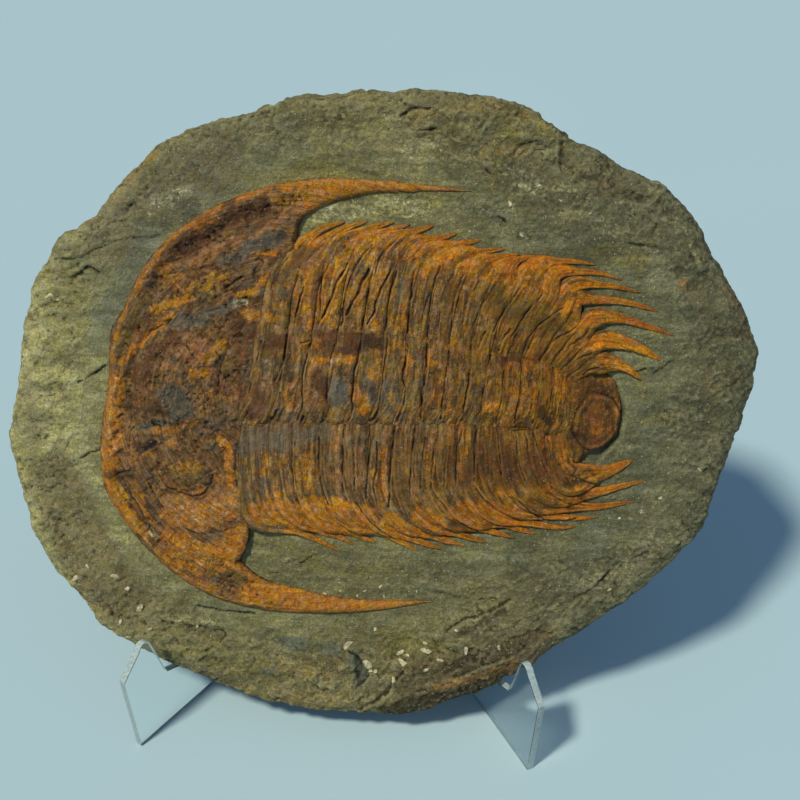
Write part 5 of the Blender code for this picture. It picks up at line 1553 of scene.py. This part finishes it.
def chips_tree():
    """A flake turned its own way at every point, as big as the point says."""
    tree, make, given, out = new_tree("laid_chips", "GeometryNodeTree", [
        ("Geometry", "Geometry", None), ("Chip", "Object", None), ("Size", "Float", 1.0), ("Seed", "Int", 5),
        ("Finish", "Material", None)], [("Geometry", "Geometry")])
    points = make.fed(make.node("GeometryNodeMeshToPoints"), Mesh=given["Geometry"]).outputs[0]
    turn = make.node("FunctionNodeEulerToRotation")
    make.feed(turn.inputs[0], make.chosen((-0.3, -0.3, 0.0), (0.3, 0.3, 6.28), given["Seed"]))
    spread = make.chosen((0.85, 0.35, 0.8), (1.45, 0.95, 1.1), make.plus(given["Seed"], 1.0))
    scaled = make.fed(make.node("ShaderNodeVectorMath", operation="SCALE"),
                      Scale=make.times(make.named("size"), given["Size"]))
    make.feed(scaled.inputs[0], spread)
    laid = make.fed(make.node("GeometryNodeInstanceOnPoints"), Points=points,
                    Instance=make.shape_of(given["Chip"]), Rotation=turn.outputs[0], Scale=scaled.outputs[0])
    give_shape(make, out, laid.outputs[0], given["Finish"])
    return tree


def face_level(piece_mesh, spots):
    """The height of the front surface of a finished mesh at the given face places."""
    away = read_values(piece_mesh.vertices, "co", 3) - FACE_CENTRE
    flat = np.stack([away @ RIGHT, away @ UP, away @ OUT], axis=1) / MM
    flat = flat[flat[:, 2] > -8]
    return np.array([flat[np.argmin(np.sum((flat[:, :2] - s) ** 2, axis=1)), 2] for s in spots])


def lay_chips(name, slab_mesh, material, seed):
    """Flakes pressed into the front of the slab."""
    chips = np.array(CHIP_PLACES)
    spots, sizes = seen(chips[:, :2]), chips[:, 2]
    mesh = new_mesh(name, np.column_stack([spots, face_level(slab_mesh, spots) - sizes * 0.06]), [])
    store(mesh, "size", "FLOAT", "value", sizes)
    form = chip_form()
    grown = grow(chips_tree(), name, {"Chip": form, "Size": 1.0, "Seed": seed, "Finish": material}, mesh)
    bpy.data.objects.remove(form, do_unlink=True)
    move_to_face(grown, read_values(grown.vertices, "co", 3))
    grown.update()
    return add_piece(name, grown, material)


# ---------------------------------------------------------------- finishes


def tone(red, green, blue):
    """A colour given as it looks on a screen, from 0 to 255, made ready for a shader."""
    return tuple(c / 12.92 if c <= 0.04045 else ((c + 0.055) / 1.055) ** 2.4
                 for c in (red / 255, green / 255, blue / 255))


def tones(**colours):
    """Named colours, each given as it looks on a screen."""
    return {name: tone(*colour) for name, colour in colours.items()}


# Each stain's colour, in the order in which the stains lie on one another
SHELL_STAINS = tones(rose=(144, 104, 70), maroon=(74, 44, 26), olive=(110, 94, 50), slate=(86, 84, 74),
                     rust=(170, 113, 47), ochre=(176, 126, 54), dark=(32, 24, 15), pale=(190, 180, 146))
STONE_STAINS = tones(olive=(112, 104, 56), maroon=(82, 68, 50), ochre=(128, 106, 58), slate=(84, 90, 80),
                     rust=(124, 82, 40), dark=(32, 24, 15), pale=(160, 158, 122))
HEAD_GROUND = [(0.0, tone(62, 43, 26)), (0.3, tone(84, 60, 37)), (0.55, tone(105, 79, 49)),
               (0.8, tone(124, 94, 56)), (1.0, tone(98, 84, 64))]
RIB_GROUND = [(0.0, tone(64, 46, 26)), (0.3, tone(97, 73, 43)), (0.55, tone(120, 92, 55)),
              (0.8, tone(142, 109, 64)), (1.0, tone(110, 97, 72))]
STONE_GROUND = [(0.0, tone(150, 145, 102)), (0.1, tone(138, 133, 91)), (0.25, tone(107, 103, 72)),
                (0.55, tone(107, 101, 69)), (0.8, tone(91, 89, 66)), (1.0, tone(79, 78, 58))]
CALM_GROUND = [(0.0, tone(124, 123, 89)), (0.4, tone(108, 106, 73)), (1.0, tone(87, 88, 66))]


def stain_group():
    """A stain that takes hold in ragged patches where its mask is strong."""
    tree, make, given, out = new_tree("mineral_stain", "ShaderNodeTree", [
        ("Base", "Color", (0.5, 0.5, 0.5, 1)), ("Stain", "Color", (0.5, 0.3, 0.1, 1)), ("Mask", "Float", 0.0),
        ("Patches", "Float", 0.5), ("Raggedness", "Float", 0.8)], [("Color", "Color")])
    ragged = make.times(make.minus(given["Patches"], 0.5), given["Raggedness"])
    held = make.plus(given["Mask"], make.times(ragged, make.between(given["Mask"], 0.0, 0.4)))
    amount = make.times(make.between(held, 0.12, 1.1), 0.9)
    make.feed(out["Color"], make.blend(amount, given["Base"], given["Stain"]))
    return tree


def grit_group():
    """Fine stone grain: its height, pale grains and dark pits."""
    tree, make, given, out = new_tree("stone_grit", "ShaderNodeTree", [
        ("Place", "Vector", (0, 0, 0)), ("Grain", "Float", 900.0), ("Specks", "Float", 0.5)],
        [("Height", "Float"), ("Pale", "Float"), ("Dark", "Float")])
    coarse = make.noise(given["Place"], make.times(given["Grain"], 0.28), 3.0, 0.6)
    fine = make.noise(given["Place"], given["Grain"], 3.0, 0.62)
    make.feed(out["Height"], make.mixed(coarse, fine, 0.38))
    far, own = make.cells(given["Place"], make.times(given["Grain"], 0.62))
    small = make.between(far, 0.16, 0.34, 1.0, 0.0)
    for label, number, share in (("Pale", own[0], 0.2), ("Dark", own[1], 0.3)):
        few = make.between(number, make.minus(1.0, make.times(given["Specks"], share)), 1.0)
        make.feed(out[label], make.times(small, few))
    return tree


def shade_dirt_and_rubbing_group():
    """Painted shade and dirt darkening the hollows, and raised edges rubbed lighter."""
    tree, make, given, out = new_tree("shade_dirt_and_rubbing", "ShaderNodeTree", [
        ("Base", "Color", (0.5, 0.5, 0.5, 1)), ("Dirt", "Color", (0.02, 0.015, 0.01, 1)),
        ("Rubbed", "Color", (0.4, 0.3, 0.2, 1)), ("Hollow", "Float", 0.0), ("Edge", "Float", 0.0),
        ("Patches", "Float", 0.5), ("Dirt Amount", "Float", 0.9), ("Rubbed Amount", "Float", 0.3)],
        [("Color", "Color")])
    shade_and_dirt_amount = make.plus(given["Hollow"], make.times(make.minus(given["Patches"], 0.5), 0.5))
    shade_and_dirt_amount = make.times(make.between(shade_and_dirt_amount, 0.2, 0.95), make.between(given["Hollow"], 0.0, 0.2),
                       given["Dirt Amount"])
    rubbed = make.times(given["Edge"], given["Rubbed Amount"], given["Patches"])
    light = make.blend(rubbed, given["Base"], given["Rubbed"])
    make.feed(out["Color"], make.blend(shade_and_dirt_amount, light, given["Dirt"]))
    return tree


class Finish(TreeMaker):
    """A material under construction, with its shader and the surface's stored layers."""

    def __init__(self, name):
        self.material = bpy.data.materials.new(name)
        self.material.use_nodes = True
        super().__init__(self.material.node_tree)
        self.shader = self.tree.nodes["Principled BSDF"]
        self.place = self.node("ShaderNodeTexCoord").outputs["Object"]

    def layer(self, name):
        """The four strengths stored under a name."""
        found = self.node("ShaderNodeAttribute", attribute_name=name)
        return [*self.parts(found.outputs["Color"], "ShaderNodeSeparateColor")[:3], found.outputs["Alpha"]]

    def use(self, group, **values):
        """What a node group gives for the given values."""
        return self.fed(self.node("ShaderNodeGroup", node_tree=group), **values).outputs

    def set(self, **values):
        """Sets or feeds the shader's own inputs."""
        self.fed(self.shader, **values)

    def stretched(self, place, angle, across, along):
        """Coordinates drawn out along one direction of the slab's face."""
        return self.fed(self.node("ShaderNodeMapping"), Vector=place, Rotation=(0.0, angle, 0.0),
                        Scale=(along, across, across)).outputs[0]

    def ramp(self, value, stops):
        """A run of colours over a value."""
        made = self.node("ShaderNodeValToRGB")
        self.feed(made.inputs[0], value)
        elements = made.color_ramp.elements
        while len(elements) < len(stops):
            elements.new(0.5)
        for element, (place, colour) in zip(elements, stops):
            element.position = place
            element.color = (*colour, 1.0)
        return made.outputs[0]

    def varied(self, value, low, high, narrow=0.32):
        """A factor from low to high that follows a noise, whose values crowd about its middle."""
        return self.between(value, narrow, 1.0 - narrow, low, high)

    def stained(self, group, colour, tints, patches, raggedness):
        """The colour under every stain, each where the surface holds it."""
        masks = {}
        for layer, names in STAIN_CHANNELS.items():
            masks.update(zip(names, self.layer(layer)))
        for name, tint in tints.items():
            colour = self.use(group, Base=colour, Stain=tint, Mask=masks[name], Patches=patches,
                              Raggedness=raggedness)["Color"]
        return colour

    def graded(self, colour, **grades):
        """A colour with its Hue, Saturation or Value changed."""
        return self.fed(self.node("ShaderNodeHueSaturation"), Color=colour, **grades).outputs[0]

    def specked(self, colour, grain, pale_share, pale, dark_share, dark):
        """A colour with the grit's pale grains and dark pits."""
        colour = self.blend(self.times(grain["Pale"], pale_share), colour, pale)
        return self.blend(self.times(grain["Dark"], dark_share), colour, dark)

    def bump(self, height, distance, strength=1.0):
        made = self.fed(self.node("ShaderNodeBump"), Strength=strength, Distance=distance, Height=height)
        self.set(Normal=made.outputs[0])


def shell_finish(groups, name, ground, raggedness, streak, across, along):
    """The fossil's iron-stained shell: a mottled ground under eight mineral stains.

    Streak is the share of the streaks that run along the plates, spaced as across and along say."""
    stain, grit, shade_and_wear = groups
    make = Finish(name)
    flow = make.node("ShaderNodeAttribute", attribute_name="flow").outputs["Vector"]
    mottle = make.noise(make.place, 95.0, 5.0, 0.68, 2.2, 0.6)
    patches = make.noise(make.place, 330.0, 4.0, 0.7, 2.1, 0.4)
    speckle = make.noise(make.place, 1000.0, 3.0, 0.7)
    drawn = make.noise(make.stretched(flow, 0.0, along, across), 1.0, 4.0, 0.66, 2.0, 0.8)
    colour = make.ramp(make.between(make.mixed(mottle, drawn, streak), 0.34, 0.68), ground)
    cool = make.noise(make.place, 70.0, 5.0, 0.7, 2.1, 0.8)
    colour = make.blend(make.between(cool, 0.52, 0.66, 0.0, 0.65), colour, tone(88, 82, 72))
    colour = make.blend(make.between(cool, 0.47, 0.36, 0.0, 0.7), colour, tone(134, 98, 66))
    torn = make.math("MULTIPLY_ADD", drawn, 0.33, make.times(speckle, 0.25))
    torn = make.between(make.math("MULTIPLY_ADD", patches, 0.42, torn), 0.36, 0.64)
    colour = make.stained(stain, colour, SHELL_STAINS, torn, raggedness)
    tailward = make.between(make.parts(make.place)["X"], 0.0, 0.11)
    colour = make.blend(tailward, colour, (1.0, 0.835, 0.4), "MULTIPLY")
    colour = make.graded(
        colour, Hue=make.varied(make.noise(make.place, 150.0, 3.0, 0.6), 0.49, 0.51, 0.35),
        Saturation=make.varied(make.noise(make.place, 240.0, 3.0, 0.6), 1.2, 0.94, 0.35),
        Value=make.times(make.varied(drawn, 1.0 - 0.4 * streak, 1.0 + 0.42 * streak, 0.34),
                         make.varied(patches, 0.82, 1.18), make.varied(speckle, 0.78, 1.22)))
    grain = make.use(grit, Place=make.place, Grain=1250.0, Specks=0.7)
    colour = make.specked(colour, grain, 0.7, tone(186, 172, 138), 0.6, SHELL_STAINS["dark"])
    # The form layer's first channel darkens the shell with painted shade and dirt; raised edges are rubbed
    # lighter.
    shade_and_dirt_mask, worn, _, _ = make.layer("form")
    shaded_and_worn = make.use(shade_and_wear, Base=colour, Dirt=tone(26, 18, 13), Rubbed=tone(156, 118, 74), Hollow=shade_and_dirt_mask,
                    Edge=worn, Patches=torn, Dirt_Amount=0.93, Rubbed_Amount=0.45)
    make.set(Base_Color=shaded_and_worn["Color"], Roughness=make.varied(grain["Height"], 0.62, 0.9, 0.3),
             Specular_IOR_Level=0.3)
    make.bump(make.mixed(grain["Height"], torn, 0.5), 0.0015)
    return make.material


def rock_finish(groups):
    """Grey-green siltstone: khaki at the left, darker and browner at the right and the top."""
    stain, grit, shade_and_wear = groups
    make = Finish("siltstone")
    broad = make.noise(make.place, 14.0, 3.0, 0.55, 2.0, 0.5)
    mottle = make.noise(make.place, 62.0, 5.0, 0.68, 2.1, 0.6)
    bands = make.mixed(make.noise(make.stretched(make.place, 0.7, 1.0, 0.2), 190.0, 4.0, 0.62, 2.0, 0.3),
                       make.noise(make.stretched(make.place, 0.3, 1.0, 0.22), 120.0, 4.0, 0.62, 2.0, 0.4), 0.5)
    side = make.plus(make.parts(make.place)["X"], make.times(make.minus(broad, 0.5), 0.14))
    side = make.math("MULTIPLY_ADD", side, 2.08, 0.5)
    colour = make.ramp(side, STONE_GROUND)
    colour = make.blend(make.between(mottle, 0.5, 0.75, 0.0, 0.6), colour, tone(92, 78, 50))
    colour = make.blend(make.between(mottle, 0.45, 0.25, 0.0, 0.45), colour, tone(126, 122, 92))
    shade_and_dirt_mask, worn, rough, _ = make.layer("form")
    calm = make.times(make.between(rough, 0.0, 0.8, 1.0, 0.0), make.between(mottle, 0.25, 0.75, 0.85, 0.4))
    colour = make.blend(calm, colour, make.ramp(side, CALM_GROUND))
    patches = make.noise(make.place, 420.0, 4.0, 0.68)
    torn = make.between(make.mixed(patches, bands, 0.4), 0.3, 0.7)
    colour = make.stained(stain, colour, STONE_STAINS, torn, 0.9)
    shift = make.node("ShaderNodeVectorMath", operation="MULTIPLY_ADD")
    for socket, value in zip(shift.inputs, (make.noise(make.place, 60.0, 4.0, 0.5, output="Color"),
                                            (0.03, 0.03, 0.03), make.place)):
        make.feed(socket, value)
    flakes = [make.between(make.cells(shift.outputs[0], scale)[1][0], 0.0, 1.0, 0.86, 1.14)
              for scale in (34.0, 96.0)]
    speckle = make.noise(make.place, 900.0, 3.0, 0.7)
    colour = make.graded(
        colour, Saturation=make.varied(make.noise(make.place, 120.0, 3.0, 0.6), 1.14, 0.94, 0.35),
        Value=make.times(make.varied(bands, 0.7, 1.3, 0.36), make.varied(patches, 0.78, 1.22, 0.3), *flakes,
                         make.varied(speckle, 0.74, 1.28)))
    grain = make.use(grit, Place=make.place, Grain=1000.0, Specks=0.8)
    colour = make.specked(colour, grain, 0.75, tone(182, 178, 146), 0.5, tone(48, 42, 30))
    # Painted shade and dirt darken the hollows and cracks; raised edges are rubbed lighter.
    shaded_and_worn = make.use(shade_and_wear, Base=colour, Dirt=tone(30, 26, 18), Rubbed=tone(146, 144, 108), Hollow=shade_and_dirt_mask,
                    Edge=worn, Patches=torn, Dirt_Amount=0.85, Rubbed_Amount=0.55)
    make.set(Base_Color=shaded_and_worn["Color"], Roughness=make.varied(grain["Height"], 0.72, 0.95, 0.3),
             Specular_IOR_Level=0.25)
    make.bump(make.mixed(grain["Height"], torn, 0.38), 0.0022)
    return make.material


def chip_finish(grit):
    """Cream flakes of calcite, a little brown in their hollows."""
    make = Finish("cream_flake")
    patches = make.noise(make.place, 500.0, 3.0, 0.6)
    grain = make.use(grit, Place=make.place, Grain=1600.0, Specks=0.5)
    colour = make.ramp(make.between(patches, 0.3, 0.7), [(0.0, tone(134, 124, 92)), (0.5, tone(170, 160, 126)),
                                                        (1.0, tone(196, 188, 156))])
    colour = make.blend(make.times(grain["Dark"], 0.5), colour, tone(90, 80, 56))
    make.set(Base_Color=colour, Roughness=make.varied(grain["Height"], 0.5, 0.8, 0.3))
    make.bump(grain["Height"], 0.0006, 0.6)
    return make.material


def clear_finish():
    """Clear cast acrylic with a trace of dust."""
    make = Finish("clear_acrylic_sheet")
    dust = make.noise(make.place, 260.0, 4.0, 0.7)
    smear = make.noise(make.stretched(make.place, 0.3, 1.0, 0.2), 60.0, 3.0, 0.6)
    make.set(Base_Color=make.ramp(dust, [(0.0, (0.90, 0.97, 0.98)), (1.0, (0.97, 0.995, 1.0))]),
             Roughness=make.between(make.mixed(dust, smear, 0.5), 0.45, 0.7, 0.01, 0.06),
             Transmission_Weight=1.0, Metallic=0.0, IOR=1.49)
    return make.material


def sawn_and_lit_edge_finish(grit):
    """The sheet's sawn edge: frosted and a little green, and pale with painted light, the light carried along
    the sheet to its edges.
    """
    make = Finish("sawn_edge_with_painted_light")
    lines = make.noise(make.stretched(make.place, 0.0, 1.0, 0.15), 900.0, 3.0, 0.6)
    grain = make.use(grit, Place=make.place, Grain=1500.0, Specks=0.3)
    colour = make.ramp(make.between(lines, 0.3, 0.7), [(0.0, tone(150, 172, 174)), (1.0, tone(196, 212, 212))])
    make.set(Base_Color=colour, Roughness=make.varied(grain["Height"], 0.3, 0.55, 0.3),
             Transmission_Weight=0.35, Metallic=0.0, IOR=1.49)
    return make.material


def floor_finish():
    """The pale, plain floor."""
    make = Finish("pale_floor")
    soft = make.noise(make.place, 1.3, 2.0, 0.5)
    colour = make.ramp(soft, [(0.0, tone(152, 178, 190)), (1.0, tone(159, 184, 195))])
    make.set(Base_Color=colour, Roughness=0.9)
    return make.material


# ---------------------------------------------------------------- the stage


def place_light(name, kind, direction, distance, **settings):
    """A light that shines on the slab's face from a direction."""
    light = bpy.data.lights.new(name, kind)
    for label, value in settings.items():
        setattr(light, label, value)
    toward = Vector(direction).normalized()
    made = linked(name, light)
    made.location = Vector(FACE_CENTRE) + toward * distance
    made.rotation_euler = toward.to_track_quat("Z", "Y").to_euler()


def make_stage():
    """The floor, the camera at the photograph's angle, the sun and the soft light of the sky."""
    mesh = new_mesh("floor", np.array([(-6, -5, 0), (6, -5, 0), (6, 9, 0), (-6, 9, 0)], float), [(0, 1, 2, 3)])
    mesh.materials.append(floor_finish())
    linked("floor", mesh)

    _, _, back = camera_axes()
    camera = bpy.data.cameras.new("camera")
    camera.lens = LENS
    camera.sensor_width = SENSOR
    camera.shift_x = (PHOTO_SIZE / 2 - CENTRE_PIXEL[0]) / PHOTO_SIZE
    camera.shift_y = (CENTRE_PIXEL[1] - PHOTO_SIZE / 2) / PHOTO_SIZE
    camera.clip_start = 0.05
    holder = linked("camera", camera)
    holder.location = FACE_CENTRE + back * CAMERA_DISTANCE
    holder.rotation_euler = Vector(back).to_track_quat("Z", "Y").to_euler()
    bpy.context.scene.camera = holder

    place_light("key", "SUN", SUN_DIRECTION, 0.0, angle=math.radians(7.0), energy=SUN_POWER, color=SUN_COLOUR)
    place_light("fill", "AREA", FILL_DIRECTION, FILL_DISTANCE, shape="DISK", size=2.2, energy=3.0,
                color=(0.86, 0.93, 1.0))
    world = bpy.data.worlds.new("soft_room")
    world.use_nodes = True
    sky = world.node_tree.nodes["Background"]
    sky.inputs["Color"].default_value = SKY_COLOUR
    sky.inputs["Strength"].default_value = SKY_STRENGTH
    bpy.context.scene.world = world
    bpy.context.scene.view_settings.view_transform = "Standard"


# ---------------------------------------------------------------- the whole


def grooved(depth, start, end, run, uneven):
    """The swept tree's settings for a row of plates."""
    return {"Groove Depth": depth, "Groove Start": start, "Groove End": end, "Groove Run": run,
            "Unevenness": uneven}


def main():
    """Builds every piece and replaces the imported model's solids."""
    grit = grit_group()
    groups = (stain_group(), grit, shade_dirt_and_rubbing_group())
    head = shell_finish(groups, "head_shell", HEAD_GROUND, 0.6, 0.4, 0.55, 0.17)
    shell = shell_finish(groups, "rib_shell", RIB_GROUND, 0.55, 0.62, 0.45, 0.075)
    slab = add_piece("rock_slab", rock_mesh(), rock_finish(groups))
    tree = swept_plates_tree()
    upper = rib_paths(AXIS_TOP, range(RINGS), UPPER_BENDS, UPPER_NOTCHES, UPPER_SPINES, UPPER_SPINE_WIDTHS)
    lower = rib_paths(LOWER_ROOTS, LOWER_ROOT_PLACES, LOWER_BENDS, LOWER_NOTCHES, LOWER_SPINES,
                      LOWER_SPINE_WIDTHS)
    pieces = [
        add_piece("head_shield", head_mesh(), head),
        add_piece("tail_plate", tail_mesh(), shell),
        sweep_piece("upper_ribs", tree, upper, grooved(RIB_GROOVE, -0.75, 0.35, 0.62, 0.9),
                    UPPER_CRACKS, RIB_STAINS, RIB_LEVEL, shell),
        sweep_piece("lower_ribs", tree, lower, grooved(RIB_GROOVE, -0.25, 0.1, 0.62, 0.9),
                    LOWER_CRACKS, RIB_STAINS, RIB_LEVEL, shell),
        sweep_piece("axis_rings", tree, ring_paths(), grooved(RING_GROOVE, -0.55, -0.55, 0.5, 1.0),
                    RING_CRACKS, RING_STAINS, RING_LEVEL, shell, no_rust, 0.95),
        lay_chips("cream_chips", slab.data, chip_finish(grit), 5),
    ]
    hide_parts("fossil_slab")
    easel = make_easel(clear_finish(), sawn_and_lit_edge_finish(grit))
    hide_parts("acrylic_easel")
    make_stage()


main()
